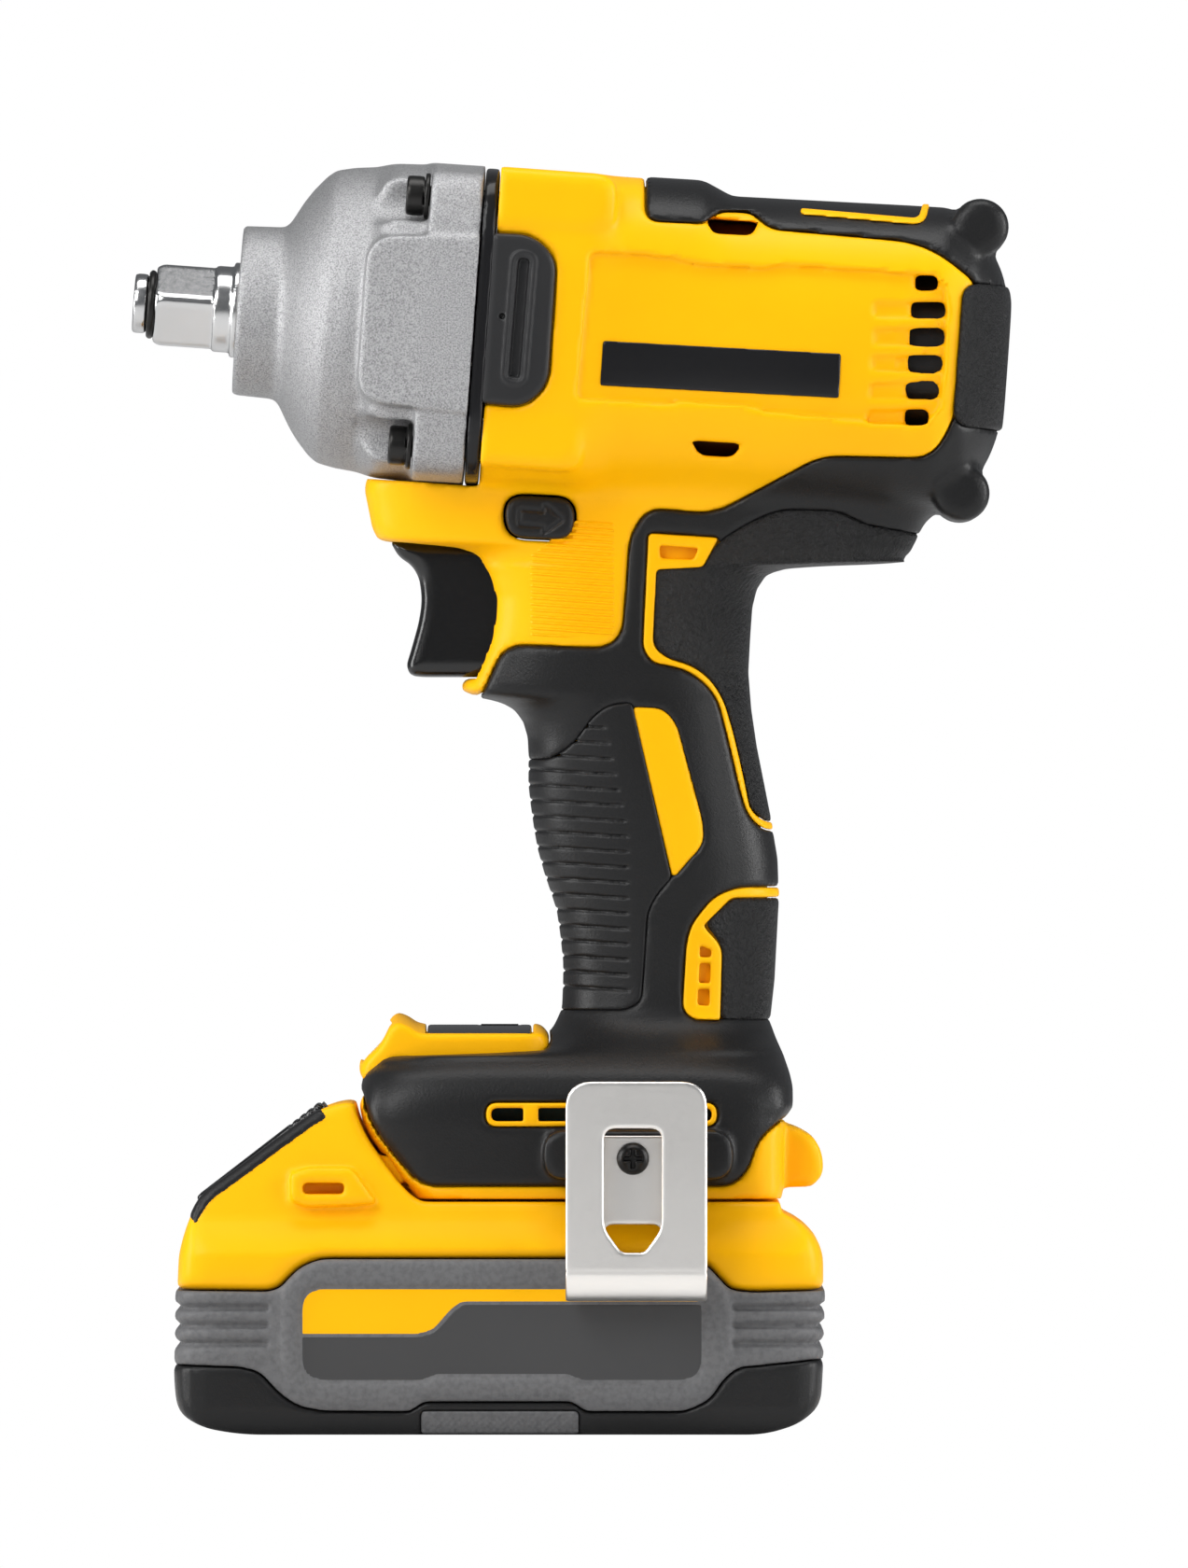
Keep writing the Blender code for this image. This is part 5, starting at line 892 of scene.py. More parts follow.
# Hammer case: bead-blasted aluminium casting, held to the housing by four screws through its corners.
# A turned bell with a collar, a square flange behind, flutes ahead of the screws and a flat on each side.
SCREW_UP = 25.2
SCREW_OUT = 26
CHAMBER_RADIUS = 27
BUSHING_BORE = 12.2
BELL = [
    (-50, 17), (-47.9, 17), (-47.2, 17.1), (-39.6, 17.4), (-38.5, 18.2), (-36, 22.7), (-34.3, 25.2),
    (-31.7, 28.2), (-29.9, 29.6), (-26.2, 30.4), (-18.8, 31.2), (-11.2, 31.8), (2, 32),
]


def nose_form(x, y, z, step):
    """Hammer case."""
    u = head_u(x, z)
    v = head_v(x, z)
    radius = np.sqrt(y * y + v * v)
    bell = even(radius - curve(BELL, 1.0)(u).astype(np.float32), step)
    bell = meet(bell, -47.9 - u, 0.8)
    square = bowl(1, y / 33.2, v / 32, 5.5) * 31
    flange = meet(square, -10.5 - u, 1.0)
    shoulder = bowl(1, y / 32.6, v / 31.4, 3.0) * 31
    shoulder = meet(shoulder, -21 - u, 5)
    form = join(join(bell, flange, 2.0), shoulder, 2.0)
    flat = area([(-22.5, -17, 6), (-22.5, 16.5, 6), (3, 18, 1), (3, -18, 1)], u, v)
    flat = meet(flat, np.abs(y) - 33.9, 1.0)
    form = join(form, np.maximum(flat, 24 - np.abs(y)), 1.2)
    for height in (SCREW_UP, -SCREW_UP):
        across = np.sqrt((np.abs(y) - SCREW_OUT) ** 2 + (v - height) ** 2)
        boss = meet(across - 5.2, -11 - u, 0.8)
        form = join(form, boss, 1.4)
        seat = np.maximum(across - 5.6, u + 10.6)
        form = cut(form, np.maximum(seat, -22 - u), 1.2)
        flute = np.sqrt((np.abs(y) - 28.6) ** 2 + (v - 1.05 * height) ** 2)
        flute = flute - 5.0 - 0.12 * (u + 22)
        form = cut(form, np.maximum(flute, np.maximum(-31 - u, u + 20)), 2.5)
        form = np.maximum(form, -(across - 2.3))
    form = np.maximum(form, u)
    chamber = np.maximum(radius - CHAMBER_RADIUS, -24 - u)
    bore = radius - BUSHING_BORE
    return np.maximum(form, -np.minimum(chamber, bore))


NOSE = solid(
    "hammer_case", nose_form, (-58, -35.5, 187), (0, 35.5, 262), 0.6, "tool", ("nose_housing",),
)[0]
CAST = finish(
    "blasted_casting", (0.46, 0.46, 0.465), (0.2, 0.2, 0.204), 0.56, 0.0002, 3000, 1.0, strength=0.8,
    drift=3200,
)
NOSE.data.materials.append(CAST)

# Spacer: gloss black plastic ring between casting and housing, moulded to the casting's square.
# The four screws of the hammer case clamp it.


def spacer_form(x, y, z, step):
    """Ring behind the hammer case."""
    u = head_u(x, z)
    v = head_v(x, z)
    ring = meet(bowl(1, y / 33.4, v / 32, 5.5) * 31, np.abs(u - 1.65) - 1.35, 0.5)
    return np.maximum(ring, -(np.sqrt(y * y + v * v) - 28))


SPACER = solid(
    "joint_ring", spacer_form, (-12, -35, 188), (5, 35, 258), 0.5, "tool", ("gearcase_spacer",),
)[0]
SPACER.data.materials.append(GLOSS)

# Case screws at the nose: black oxide steel socket-head screws with washers, one in each corner.
# They pass through the casting and the spacer into the housing.
OXIDE = finish(
    "black_oxide", (0.035, 0.034, 0.033), (0.02, 0.02, 0.02), 0.34, 0.00005, 1800, 0.9, strength=0.2,
)
for number, (side, up) in enumerate([(-1, 1), (-1, -1), (1, 1), (1, -1)], 1):
    def screw_form(x, y, z, step, side=side, up=up):
        """Socket-head screw with a washer."""
        u = head_u(x, z)
        v = head_v(x, z)
        away = np.sqrt((y - side * SCREW_OUT) ** 2 + (v - up * SCREW_UP) ** 2)
        shaft = np.maximum(away - 2.0, np.maximum(-12 - u, u - 15))
        washer = meet(away - 4.7, np.abs(u + 11.2) - 0.5, 0.3)
        knob = meet(away - 4.0, np.maximum(-15.4 - u, u + 11.8), 0.7)
        knob = cut(knob, np.maximum(away - 1.7, u + 13.4), 0.2)
        return np.minimum(np.minimum(shaft, washer), knob)
    middle_z = HEAD_Z + up * SCREW_UP * math.cos(TILT)
    middle_y = side * SCREW_OUT
    screw = solid(
        f"corner_screw_{number}", screw_form, (-26, middle_y - 5.6, middle_z - 6.5),
        (13, middle_y + 5.6, middle_z + 7), 0.35, "tool", (f"nose_screw_{number}",),
    )[0]
    screw.data.materials.append(OXIDE)

# Anvil: polished hardened steel, a half-inch square with eased corners, turned neck and a grooved tip.
# A black hog ring snaps into the groove and holds sockets.
DRIVE_HALF = 6.35
DRIVE_TURN = math.radians(38)
GROOVE_PLACE = 65.4


def anvil_form(x, y, z, step):
    """Anvil seen from outside, with its shaft and wings inside the case."""
    u = head_u(x, z)
    v = head_v(x, z)
    a = y * math.cos(DRIVE_TURN) + v * math.sin(DRIVE_TURN)
    b = v * math.cos(DRIVE_TURN) - y * math.sin(DRIVE_TURN)
    radius = np.sqrt(y * y + v * v)
    square = meet(np.maximum(np.abs(a), np.abs(b)) - DRIVE_HALF, radius - 8.3, 0.6)
    square = meet(square, np.abs(u + 58.6) - 6.1, 0.5)
    square = meet(square, (-64.6 - u) * 0.6 + radius - 7.6, 0.4)
    tip = meet(radius - 6.0, np.abs(u + 66.4) - 2.6, 0.8)
    groove = np.sqrt((radius - 6.6) ** 2 + (u + GROOVE_PLACE) ** 2) - 1.3
    tip = np.maximum(tip, -groove)
    neck = meet(radius - 8.7, np.abs(u + 41.5) - 11.2, 0.5)
    collar = meet(radius - 9.6, np.abs(u + 48.2) - 0.9, 0.4)
    wings = np.maximum(np.maximum(np.abs(v) - 5, radius - 21.5), np.abs(u + 28.3) - 3.7)
    core = np.maximum(radius - 5.0, np.abs(u + 50) - 16)
    form = np.minimum(np.minimum(square, tip), np.minimum(neck, collar))
    return np.minimum(np.minimum(form, wings), core)


ANVIL = solid(
    "drive_anvil", anvil_form, (-75, -22.5, 204), (-26, 22.5, 250), 0.4, "anvil", ("anvil",),
)[0]
POLISHED = finish(
    "polished_steel", (0.60, 0.60, 0.60), (0.5, 0.5, 0.5), 0.2, 0.00003, 900, 1.0, strength=0.15,
)
ANVIL.data.materials.append(POLISHED)


def ring_form(x, y, z, step):
    """Open hog ring of round wire."""
    u = head_u(x, z)
    v = head_v(x, z)
    radius = np.sqrt(y * y + v * v)
    wire = np.sqrt((radius - 6.25) ** 2 + (u + GROOVE_PLACE) ** 2) - 0.75
    return np.maximum(wire, -np.maximum(np.abs(y) - 1.2, -v))


RING = solid(
    "hog_wire", ring_form, (-73, -8, 219), (-68, 8, 236), 0.25, "anvil", ("hog_ring",),
)[0]
RING.data.materials.append(OXIDE)

# Side plates: dark grey satin plastic covers beside the gear case, each with a framed slot.
# They are moulded and snapped into pockets in the housing.
COVER_FACE = 33.7
COVER_BACK = 31.4


def plate_form(x, y, z, step):
    """Left side plate."""
    rim = area(SIDE_PLATE, x, z)
    plate = meet(rim + 0.1, -COVER_FACE - y, 1.4)
    plate = np.maximum(plate, y + COVER_BACK)
    slot = area([(3.6, 236.4, 0.8), (5.7, 236.2, 0.8), (3.7, 212.3, 0.8), (1.6, 212.5, 0.8)], x, z)
    frame_line = np.abs(slot - 1.2) - 0.4
    plate = join(plate, np.maximum(np.maximum(frame_line, -34.1 - y), y + 32), 0.4)
    plate = cut(plate, np.maximum(slot, y + 32.2), 0.4)
    hole = np.sqrt((x - 0.2) ** 2 + (z - 224.7) ** 2) - 0.6
    return np.maximum(plate, -np.maximum(hole, y + 32.6))


PLATES = solid(
    "gear_cover_left", plate_form, (-6, -35.5, 204), (14, -29, 244), 0.35, "tool",
    ("side_plate_left", "side_plate_right"), "gear_cover_right",
)
GREY = finish(
    "satin_grey", (0.026, 0.026, 0.027), (0.021, 0.021, 0.022), 0.36, 0.00008, 2200, strength=0.25,
    shine=0.22,
)
for piece in PLATES:
    piece.data.materials.append(GREY)

# Trigger: satin black moulded lever with a hollowed finger face.
# It runs on a straight slide in the housing, and its stem goes into the switch.
TRIGGER_HALF_WIDTH = 8.8
STEM_RADIUS = 3
TRIGGER = [
    (-22.4, 179.6, 0.6), (-20.8, 176.6, 2), (-18.2, 175, 3), (-16.6, 172.4, 4), (-16, 168, 6),
    (-16.6, 163.6, 6), (-18.2, 157.8, 4), (-19.2, 154.6, 2), (-18.4, 152.6, 2), (-16, 152.3, 2),
    (3, 152.3, 1), (3, 179.6, 1),
]


def trigger_form(x, y, z, step):
    """Trigger with a hollowed finger face."""
    form = meet(area(TRIGGER, x, z), np.abs(y) - TRIGGER_HALF_WIDTH, 3.2)
    stem = np.sqrt(y * y + (z - 166) ** 2) - STEM_RADIUS
    stem = np.maximum(stem, np.maximum(1 - x, x - 14.3))
    return np.minimum(form, stem)


PULL = solid(
    "trigger_lever", trigger_form, (-24, -10, 150), (15, 10, 181), 0.5, "trigger", ("trigger",),
)[0]
SATIN_BLACK = finish(
    "satin_black", (0.0045, 0.0045, 0.0047), (0.0032, 0.0032, 0.0034), 0.22, 0.00006, 2200, strength=0.2,
    shine=0.5,
)
PULL.data.materials.append(SATIN_BLACK)

# Direction button: black moulded cross bar through the housing, with an obround head on each side.
# Each head has a plain arrow outline cut in it, and a flange inside the shell keeps the bar in.
BAR_HALF_LENGTH = 19.2


def button_form(x, y, z, step):
    """Cross button."""
    head = meet(area(BUTTON, x, z), np.abs(y) - BAR_HALF_LENGTH, 1.4)
    arrow = [
        (3.6, 186, 0.3), (8.6, 185.6, 0.3), (8.7, 187.2, 0.3), (12.4, 183.9, 0.3), (8.4, 181, 0.3),
        (8.5, 182.5, 0.3), (3.5, 182.9, 0.3),
    ]
    line = np.maximum(np.abs(area(arrow, x, z)) - 0.28, BAR_HALF_LENGTH - 0.4 - np.abs(y))
    flange = np.maximum(np.maximum(area(BUTTON, x, z) - 1.0, 180.4 - z), np.abs(y) - 5)
    return np.minimum(cut(head, line, 0.2), flange)


CROSS = solid(
    "direction_bar", button_form, (-1, -20.5, 177), (17, 20.5, 191), 0.4, "direction_button",
    ("direction_button",),
)[0]
CROSS.data.materials.append(SOFT_BLACK)

# Light bezel: yellow moulded hood over the lamp at the front of the foot, held between the halves.
# It has a rim round the dark mode panel, and a clear moulded lens set back from its sloping face.
LENS = [(-28.6, 75.4, 0.2), (-23.4, 83.2, 0.2), (-21.6, 82, 0.2), (-26.4, 74.4, 0.2)]


def crowned(y, z):
    """Height measured from a face that falls away to both sides."""
    return z + 2.0 * (y / 22) ** 2


def bezel_form(x, y, z, step):
    """Hood and rim."""
    crown = crowned(y, z)
    form = meet(area(BEZEL, x, crown), bowl(1, (x + 9.5) / 20, y / 22.1, 7) * 20, 1.2)
    tray = np.maximum(np.maximum(80.2 - crown, np.abs(x + 4.4) - 10.8), np.abs(y) - 20.2)
    form = cut(form, tray, 0.4)
    well = np.maximum(np.maximum(np.abs(x + 0.35) - 4.2, np.abs(y) - 5.0), 76.8 - z)
    form = np.maximum(form, -well)
    return np.maximum(form, -np.maximum(area(LENS, x, z) - 0.15, np.abs(y) - 16.4))


BEZEL_PIECE = solid(
    "lamp_hood", bezel_form, (-31, -24, 70), (12, 24, 87), 0.45, "tool", ("light_bezel",),
)[0]
BEZEL_PIECE.data.materials.append(YELLOW)


def lens_form(x, y, z, step):
    """Clear lens, set back from the hood's face."""
    slab = meet(area(LENS, x, z), np.abs(y) - 16.2, 0.6)
    return np.maximum(slab, area(BEZEL, x, z) + 0.8)


LENS_PIECE = solid(
    "lamp_window", lens_form, (-30, -18, 73), (-20, 18, 85), 0.35, "tool", ("light_lens",),
)[0]
CLEAR = finish("lamp_lens", (0.85, 0.87, 0.9), (0.8, 0.82, 0.85), 0.12, 0.0001, 300, coat=0.4)
LENS_PIECE.data.materials.append(CLEAR)

# Mode panel: gloss black crowned plastic cover, snapped into the tray of the bezel.
# The mode button stands through its opening.


def panel_form(x, y, z, step):
    """Crowned cover with an opening for the button."""
    plan = np.maximum(np.abs(x + 4.4) - 10.5, np.abs(y) - 19.9)
    form = meet(plan, np.maximum(crowned(y, z) - 82.1, 79.6 - z), 0.6)
    return np.maximum(form, -np.maximum(np.abs(x + 0.35) - 4.0, np.abs(y) - 4.8))


PANEL_PIECE = solid(
    "mode_cover", panel_form, (-17, -22, 77), (8, 22, 84), 0.4, "tool", ("mode_panel",),
)[0]
PANEL_PIECE.data.materials.append(GLOSS)

# Belt hook: bent strip of nickel-plated spring steel with a window in each leg.
# One round-head screw through its inner leg holds it against the boss on the foot.
STRIP_BACK = 41.4
STRIP_THICK = 1.8
BEND_RADIUS = STRIP_THICK + 4.1
HOOK_FOOT = 27.0
HOOK_SCREW_X = 26.5
HOOK_SCREW_Z = 55.5


def hook_form(x, y, z, step):
    """Bent strip with its windows."""
    middle = -(STRIP_BACK + BEND_RADIUS)
    bend = HOOK_FOOT + BEND_RADIUS
    centre = BEND_RADIUS - STRIP_THICK / 2
    across = y - middle
    arc = np.abs(np.sqrt(across ** 2 + (z - bend) ** 2) - centre) - STRIP_THICK / 2
    arc = np.maximum(arc, z - bend)
    legs = np.maximum(np.abs(np.abs(across) - centre) - STRIP_THICK / 2, bend - z)
    strip = np.minimum(arc, legs)
    strip = np.maximum(strip, np.where(y > middle, z - 60.1, -1.0))
    plan = area([(13, 20, 0.5), (13, 71.1, 5.4), (41.4, 71.1, 5.4), (41.4, 20, 0.5)], x, z)
    strip = meet(strip, plan, 0.5)
    window = [
        (20.7, 61.7, 2.4), (32.3, 61.7, 2.4), (32.3, 41.6, 2), (28.8, 36.8, 1), (24.2, 36.8, 1),
        (20.7, 41.6, 2),
    ]
    strip = cut(strip, np.maximum(area(window, x, z), y - middle), 0.4)
    slot = area([(20.7, 33.9, 2), (20.7, 42.3, 2), (32.3, 42.3, 2), (32.3, 33.9, 2)], x, z)
    strip = cut(strip, np.maximum(slot, middle - y), 0.4)
    hole = np.sqrt((x - HOOK_SCREW_X) ** 2 + (z - HOOK_SCREW_Z) ** 2) - 2.3
    return np.maximum(strip, -np.maximum(hole, middle - y))


HOOK = solid(
    "hook_strip", hook_form, (11, -55, 25), (43, -40, 73), 0.35, "tool", ("belt_hook",),
)[0]
NICKEL = finish(
    "nickel_plate", (0.86, 0.84, 0.81), (0.8, 0.78, 0.75), 0.34, 0.00005, 1400, 1.0, strength=0.2,
)
HOOK.data.materials.append(NICKEL)


def hook_screw_form(x, y, z, step):
    """Round-head screw with a cross recess."""
    across = x - HOOK_SCREW_X
    up = z - HOOK_SCREW_Z
    away = np.sqrt(across ** 2 + up ** 2)
    dome = np.sqrt(away ** 2 + ((y + 43.5) * 1.4) ** 2) - 3.3
    dome = np.maximum(dome, y + 43.5)
    shaft = np.maximum(away - 2, np.maximum(-44 - y, y + 29.8))
    upright = np.maximum(np.abs(across) - 0.45, np.abs(up) - 1.9)
    level = np.maximum(np.abs(up) - 0.45, np.abs(across) - 1.9)
    cross = np.minimum(upright, level)
    return np.minimum(np.maximum(dome, -np.maximum(cross, y + 44.6)), shaft)


HOOK_SCREW = solid(
    "hook_fixing", hook_screw_form, (22, -47, 51), (31, -29, 60), 0.3, "tool", ("hook_screw",),
)[0]
HOOK_SCREW.data.materials.append(OXIDE)

# Battery: yellow upper case on slide rails, grey lower case and soft black base guard.
# All three are moulded plastic, screwed together from below round the cells.
# The upper case carries the release button on its front slope and a grip wedge on each side.
PACK_HALF_WIDTH = 40.5
GRIP_SEAT = 39.9
CELL_HALF_LENGTH = 58
CELL_HALF_WIDTH = 36
RIB_PITCH = 3.6
UPPER = [
    (-65.8, 29.1, 0.3), (-65.3, 36.5, 4), (-63.9, 41.4, 4), (-60.6, 48, 5), (-54, 52.6, 5),
    (-44.6, 59.6, 6), (-37, 65, 3), (-32.6, 66.5, 1.5), (-29.6, 66.8, 1), (-28.8, 63.5, 2),
    (-26.8, 59.3, 3), (-23.7, 54.9, 3), (-21.1, 51.2, 3), (-18.3, 48.2, 3), (-16, 46.7, 2),
    (56.2, 46.7, 0.8), (56.4, 44.6, 0.8), (60, 42.8, 2), (64.4, 39, 3), (65.6, 35.5, 2),
    (65.6, 29.1, 0.3), (50.5, 28.7, 1.5), (46, 29.2, 1.5), (41.4, 34.2, 2), (38.6, 35.4, 2),
    (-36.4, 35.4, 2), (-40.6, 33.6, 2), (-44.4, 29.6, 2), (-46.6, 28.9, 1.5),
]
GUARD_TOP = [
    (-70, 14.2, 1), (-52.2, 13.6, 2), (-48.4, 12.6, 2), (-44.6, 8.4, 2), (-40.8, 5.7, 3), (-36, 4.8, 2),
    (-18.2, 4.7, 1), (-15.4, 6.6, 1), (14.2, 6.6, 1), (17, 4.7, 1), (37.2, 4.7, 2), (42, 7, 2),
    (44.8, 11.2, 2), (47.6, 13.5, 2), (62.6, 15, 1), (70, 15, 1), (70, -10, 1), (-70, -10, 1),
]
SIDE_OUTER = [
    (-65.8, 31, 1), (-66.3, 11, 4), (-65.2, 4.6, 4), (-60, 1.4, 5), (-52, 0, 5), (53, 0, 5), (60, 2.2, 5),
    (64.4, 6, 4), (65, 14, 3), (65.7, 31, 1), (65.7, 80, 1), (-65.8, 80, 1),
]


def pack_plan(x, y, z, step):
    """Battery's rounded plan and waist."""
    lean = np.clip((z - 36) / 12, 0, 1) * 2.6
    half = PACK_HALF_WIDTH
    plan = area([(-66.4, -half, 10), (-66.4, half, 10), (66, half, 10), (66, -half, 10)], x, y)
    return plan + lean


def upper_shell(x, y, z, step):
    """Outer form of the upper case, stepping in above its ledge."""
    form = meet(area(UPPER, x, z), pack_plan(x, y, z, step), 4.0)
    ledge = np.clip(z - 36.5, 0, 7) * 0.66 + np.maximum(z - 43.5, 0) * 0.26
    return meet(form, np.abs(y) - PACK_HALF_WIDTH + ledge, 1.6)


def slope_place(x, z):
    """Distance along the front slope from its foot, and depth below its face."""
    along = np.array([25.6, 19.7]) / 32.3
    reach_along = (x + 61.2) * along[0] + (z - 46.6) * along[1]
    depth = (x + 61.2) * along[1] - (z - 46.6) * along[0]
    return reach_along, depth


def cell_room(x, y, height):
    """Room inside the pack for its cells, over the heights where the last field is below zero."""
    return np.maximum(np.maximum(np.abs(x) - CELL_HALF_LENGTH, height), np.abs(y) - CELL_HALF_WIDTH)


def upper_form(x, y, z, step):
    """Yellow upper case with its rails."""
    form = upper_shell(x, y, z, step)
    wedge = [
        (-42.3, 52.6, 1), (-38.9, 53.6, 1.2), (-29.9, 53.6, 1.2), (-24.8, 46.4, 1), (-38.9, 45.7, 1),
        (-42.3, 47, 1),
    ]
    grip = meet(area(wedge, x, z), np.abs(y) - 38.6, 1.0)
    form = join(form, np.maximum(grip, 26 - np.abs(y)), 0.8)
    slot = area([(-39.9, 50.6, 1), (-31.4, 50.6, 1), (-31.4, 48.4, 1), (-39.9, 48.4, 1)], x, z)
    form = cut(form, np.maximum(slot, 33 - np.abs(y)), 0.3)
    rail = np.maximum(np.maximum(50.7 - z, z - 55.9), np.abs(y) - 28)
    neck = np.maximum(np.maximum(45 - z, z - 51), np.abs(y) - 23.7)
    form = np.minimum(form, np.maximum(np.minimum(rail, neck), np.abs(x - 11) - 37))
    for side in (-14, -5, 5, 14):
        form = np.maximum(form, -np.maximum(np.maximum(np.abs(y - side) - 1.2, 50.7 - z), 13 - x))
    reach_along, depth = slope_place(x, z)
    pocket = np.maximum(np.maximum(np.abs(reach_along - 16.15) - 16.5, depth - 5.8), np.abs(y) - 15.3)
    form = np.maximum(form, -pocket)
    return np.maximum(form, -cell_room(x, y, z - 39))


PACK_TOP = solid(
    "pack_top", upper_form, (-68, -42, 27), (68, 42, 69), 0.8, "battery", ("battery_upper",),
)[0]
PACK_TOP.data.materials.append(YELLOW)


def lower_form(x, y, z, step):
    """Grey lower case with ribbed corners and a framed label recess on each side."""
    shell = meet(area(SIDE_OUTER, x, z), pack_plan(x, y, z, step), 2.5)
    form = np.maximum(shell, -(area(UPPER, x, z) - 0.15))
    form = np.maximum(form, z - 36)
    form = np.maximum(form, -(area(GUARD_TOP, x, z) - 0.15))
    rib_area = np.minimum(
        area([(-70, 27.2, 1), (-46, 27.2, 1.5), (-46, 15.8, 1.5), (-70, 15.8, 1)], x, z),
        area([(45.8, 26.8, 1.5), (70, 26.8, 1), (70, 15.4, 1), (45.8, 15.4, 1.5)], x, z),
    )
    level = np.abs(((z - 16.6) / RIB_PITCH) % 1 - 0.5) * RIB_PITCH
    groove = np.clip(0.95 - level, 0, 0.7) * 2.0
    form = np.where(rib_area < -0.6, form + groove, form)
    frame_area = area([
        (-44.2, 29.4, 3), (-40, 33.6, 3), (-36.4, 35, 2), (39, 35, 2), (41.8, 33, 3), (46.4, 28, 3),
        (46.4, 14.4, 4), (41.9, 8.2, 4), (37.2, 6, 2), (16.6, 6, 1), (13.8, 7.8, 1), (-15.4, 7.8, 1),
        (-18.2, 6, 1), (-37, 6, 2), (-41, 8.4, 4), (-44.2, 13, 4),
    ], x, z)
    raised = meet(frame_area, np.abs(y) - 41.3, 1.2)
    form = join(form, np.maximum(raised, 39 - np.abs(y)), 0.5)
    label = area([
        (-40.6, 30, 5), (41, 30, 5), (41, 10.4, 5), (15.8, 10.4, 1), (13.9, 11.4, 1), (-13.6, 11.4, 1),
        (-15.5, 10.4, 1), (-40.6, 10.4, 5),
    ], x, z)
    form = cut(form, np.maximum(label, 40.6 - np.abs(y)), 0.5)
    return np.maximum(form, -cell_room(x, y, np.abs(z - 22) - 18))


PACK_MID = solid(
    "pack_middle", lower_form, (-68, -43, 3), (68, 43, 37), 0.7, "battery", ("battery_lower",),
)[0]
PACK_GREY = finish(
    "grained_grey", (0.135, 0.135, 0.138), (0.1, 0.1, 0.103), 0.5, 0.0002, 1500, strength=0.5, drift=900,
)
PACK_MID.data.materials.append(PACK_GREY)


def guard_lean(z):
    """How far the guard's chamfer draws in below its edge."""
    return np.maximum(5.2 - z, 0) * 0.55


def guard_form(x, y, z, step):
    """Black base guard with a grip insert."""
    shell = meet(area(SIDE_OUTER, x, z), pack_plan(x, y, z, step) - 0.4, 3.0)
    form = meet(shell, area(GUARD_TOP, x, z) + 0.1, 0.8)
    form = meet(form, np.abs(y) - 41 + guard_lean(z), 1.2)
    form = np.maximum(form, -z)
    insert = area([(-16.2, 5, 1), (15.8, 5, 1), (15.8, -3, 1), (-16.2, -3, 1)], x, z)
    form = cut(form, np.maximum(insert, GRIP_SEAT - guard_lean(z) - np.abs(y)), 0.4)
    return np.maximum(form, -cell_room(x, y, 5 - z))


PACK_BASE = solid(
    "pack_guard", guard_form, (-68, -43, -1.4), (68, 43, 17), 0.7, "battery", ("battery_base",),
)[0]
PACK_BASE.data.materials.append(SOFT_BLACK)

# Base grips: grey strips with a fine diamond mesh, moulded in the same plastic as the lower case.
# They are let into pockets in the guard on each long side and follow its chamfer.
MESH_PITCH = 1.4


def strip_form(x, y, z, step):
    """Left meshed strip."""
    strip = area([(-16, 4.8, 1), (15.6, 4.8, 1), (15.6, 0.3, 0.6), (-16, 0.3, 0.6)], x, z)
    cross = np.abs(((x + z) / MESH_PITCH) % 1 - 0.5) + np.abs(((x - z) / MESH_PITCH) % 1 - 0.5)
    face = np.abs(y + GRIP_SEAT - guard_lean(z)) - 0.9 - 0.3 * np.clip(1 - cross * 1.6, 0, 1)
    return meet(strip, face, 0.3)


STRIPS = solid(
    "base_grip_left", strip_form, (-17.5, -42, -0.6), (17, -34.5, 6), 0.3, "battery", (None, None),
    "base_grip_right",
)
for piece in STRIPS:
    piece.data.materials.append(PACK_GREY)

# Labels: plain panels in the recess on each side of the battery, glued to its floor.
# Each is yellow above a slanted step and dark grey below it.
LABEL_PLACE = 40.35
LABEL_HALF_THICK = 0.3


def label_form(top):
    """Field maker for one colour of the label."""
    def form_of(x, y, z, step):
        face = area([
            (-40.2, 29.6, 4.8), (40.6, 29.6, 4.8), (40.6, 10.8, 4.8), (15.6, 10.8, 1), (13.7, 11.8, 1),
            (-13.4, 11.8, 1), (-15.3, 10.8, 1), (-40.2, 10.8, 4.8),
        ], x, z)
        band = area([
            (-60, 50, 1), (60, 50, 1), (60, 26.5, 0.2), (-7.9, 26.5, 1), (-9.8, 25, 1), (-13.5, 20.9, 1),
            (-16.4, 20, 1), (-60, 20, 0.2),
        ], x, z)
        face = np.maximum(face, band + 0.05 if top else 0.05 - band)
        return np.maximum(face, np.abs(y + LABEL_PLACE) - LABEL_HALF_THICK)
    return form_of


LABEL_GREY = finish(
    "label_grey", (0.055, 0.055, 0.056), (0.05, 0.05, 0.051), 0.34, 0.00003, 1500, shine=0.3,
)
for top, title, colour in ((True, "label_band", YELLOW), (False, "label_field", LABEL_GREY)):
    pieces = solid(
        title + "_left", label_form(top), (-42, -41.6, 9), (42, -39.2, 31), 0.4, "battery", (None, None),
        title + "_right",
    )
    for piece in pieces:
        piece.data.materials.append(colour)

# Release button: satin black slab in a pocket on the pack's front slope, pressed in to free the pack.
# A soft black skin is moulded over the slope on both sides of it.
SLAB_HALF_WIDTH = 15.0
SKIN_DEPTH = 2.1


def release_form(x, y, z, step):
    """Release slab."""
    reach_along, depth = slope_place(x, z)
    slab = meet(np.abs(reach_along - 16.15) - 16.0, np.maximum(depth - 3.0, -0.9 - depth), 1.0)
    slab = meet(slab, np.abs(y) - SLAB_HALF_WIDTH, 1.2)
    teeth = np.abs((reach_along / 1.8) % 1 - 0.5) * 1.8
    return slab + np.where((reach_along > 24) & (depth < 1), np.maximum(0.4 - teeth, 0) * 1.2, 0)


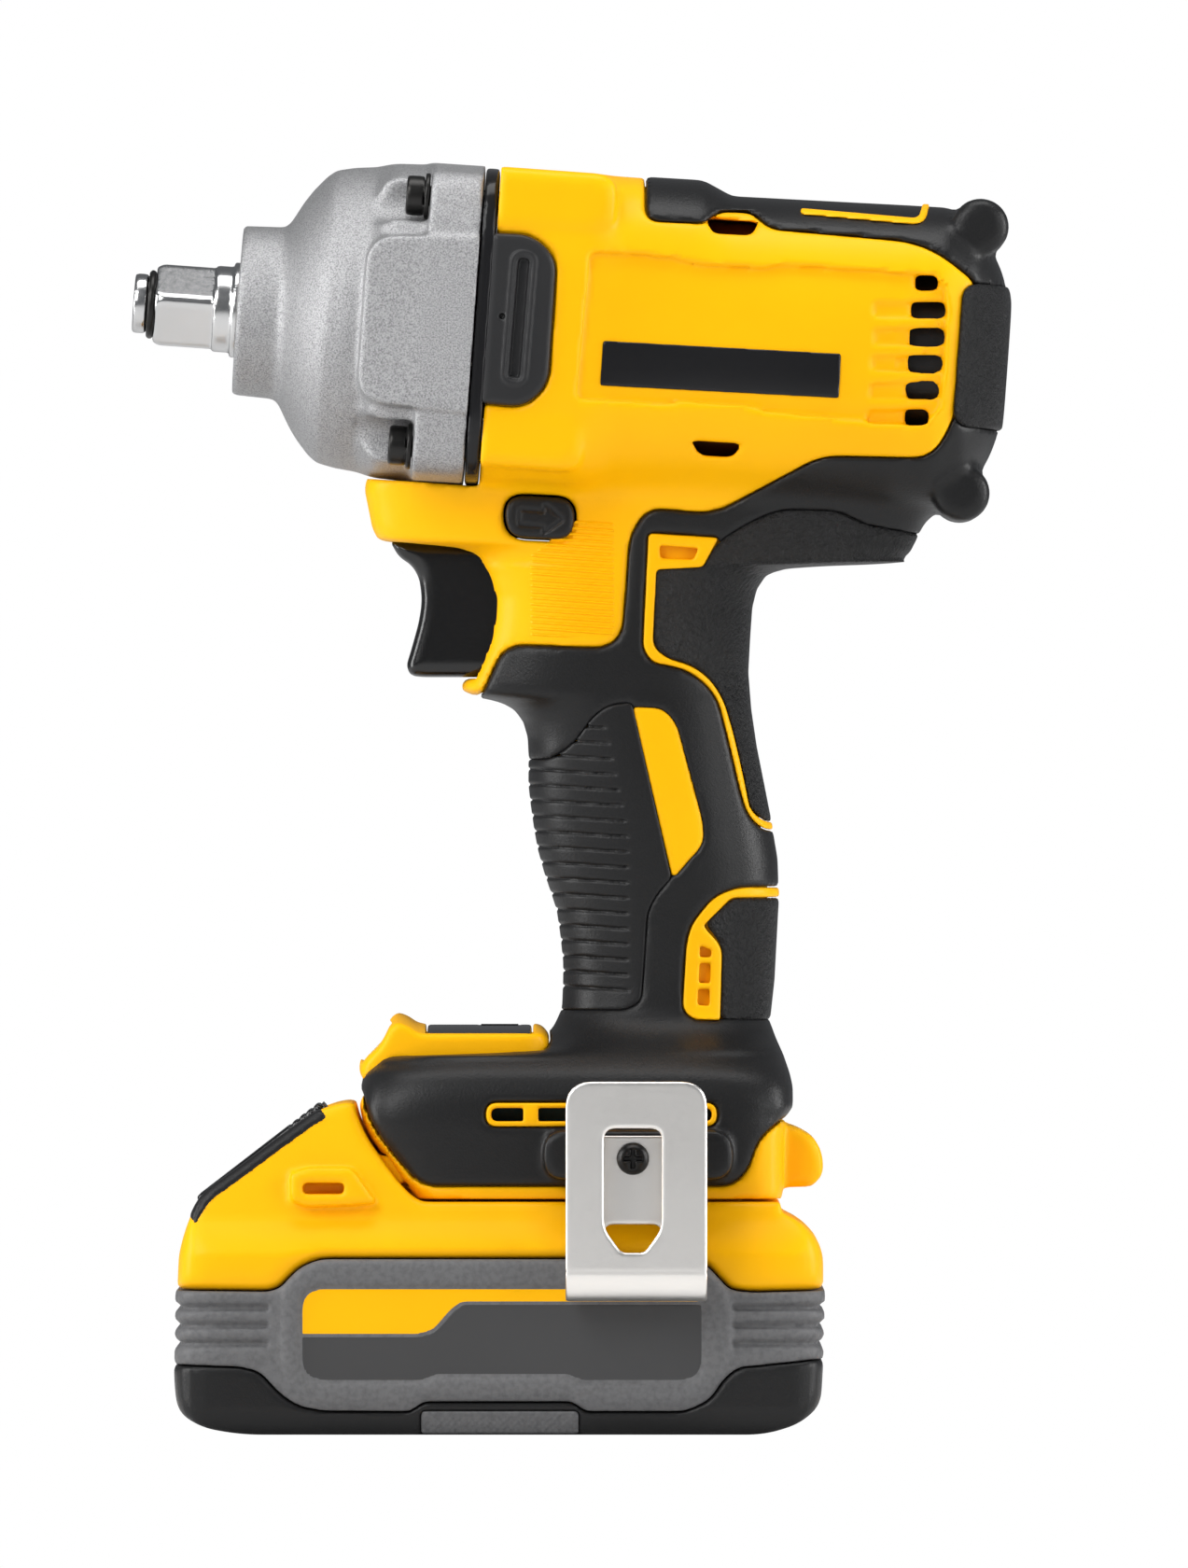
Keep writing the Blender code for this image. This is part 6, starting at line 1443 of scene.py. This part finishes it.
def slope_form(x, y, z, step):
    """Black skin round the release slab, wrapped over the edges of the slope."""
    skin = np.maximum(upper_shell(x, y, z, step) - 0.2, -(area(UPPER, x, z) + SKIN_DEPTH))
    reach_along = slope_place(x, z)[0]
    skin = meet(skin, np.abs(reach_along - 14.2) - 17.2, 0.8)
    return np.maximum(skin, 15.4 - np.abs(y))


SLOPE = solid(
    "slope_skin", slope_form, (-67, -42, 40), (-30, 42, 69), 0.5, "battery", (None,),
)[0]
SLOPE.data.materials.append(SOFT_BLACK)
RELEASE = solid(
    "release_slab", release_form, (-66, -17, 42), (-32, 17, 70), 0.4, "release_button",
    ("release_button",),
)[0]
RELEASE.data.materials.append(SATIN_BLACK)

# Pieces kept as built: mode button, screws in the housing, and everything inside.
# Turned, ground, sintered, wound or potted, each takes its own surface in place of its plain colour.
STEEL = finish("ground_steel", (0.5, 0.49, 0.47), (0.42, 0.41, 0.4), 0.32, 0.00004, 1200, 1.0)
BRONZE = finish("sintered_bronze", (0.45, 0.29, 0.12), (0.36, 0.23, 0.1), 0.42, 0.00008, 1600, 1.0)
COPPER = finish("wound_copper", (0.45, 0.2, 0.08), (0.3, 0.13, 0.05), 0.4, 0.0002, 700, 0.7)
BOARD = finish("potted_board", (0.03, 0.07, 0.05), (0.02, 0.05, 0.035), 0.4, 0.0002, 500)
SURFACES = [
    (SATIN_BLACK, ["mode_button", "fan"]),
    (OXIDE, ["case_screw_1", "case_screw_2", "case_screw_3"]),
    (BRONZE, ["anvil_bushing"]),
    (STEEL, [
        "hammer", "hammer_spring", "cam_carrier", "planet_gear_1", "planet_gear_2", "planet_gear_3",
        "ring_gear", "rotor", "trigger_spring",
    ]),
    (POLISHED, ["cam_ball_1", "cam_ball_2", "front_bearing", "rear_bearing"]),
    (GLOSS, ["motor_bracket", "terminal_block"]),
    (COPPER, ["stator"]),
    (GREY, ["switch_module", "cell_stack"]),
    (BOARD, ["control_module"]),
]
for surface, kept_nodes in SURFACES:
    for node in kept_nodes:
        mesh = bpy.data.objects[node].data
        mesh.materials.clear()
        mesh.materials.append(surface)
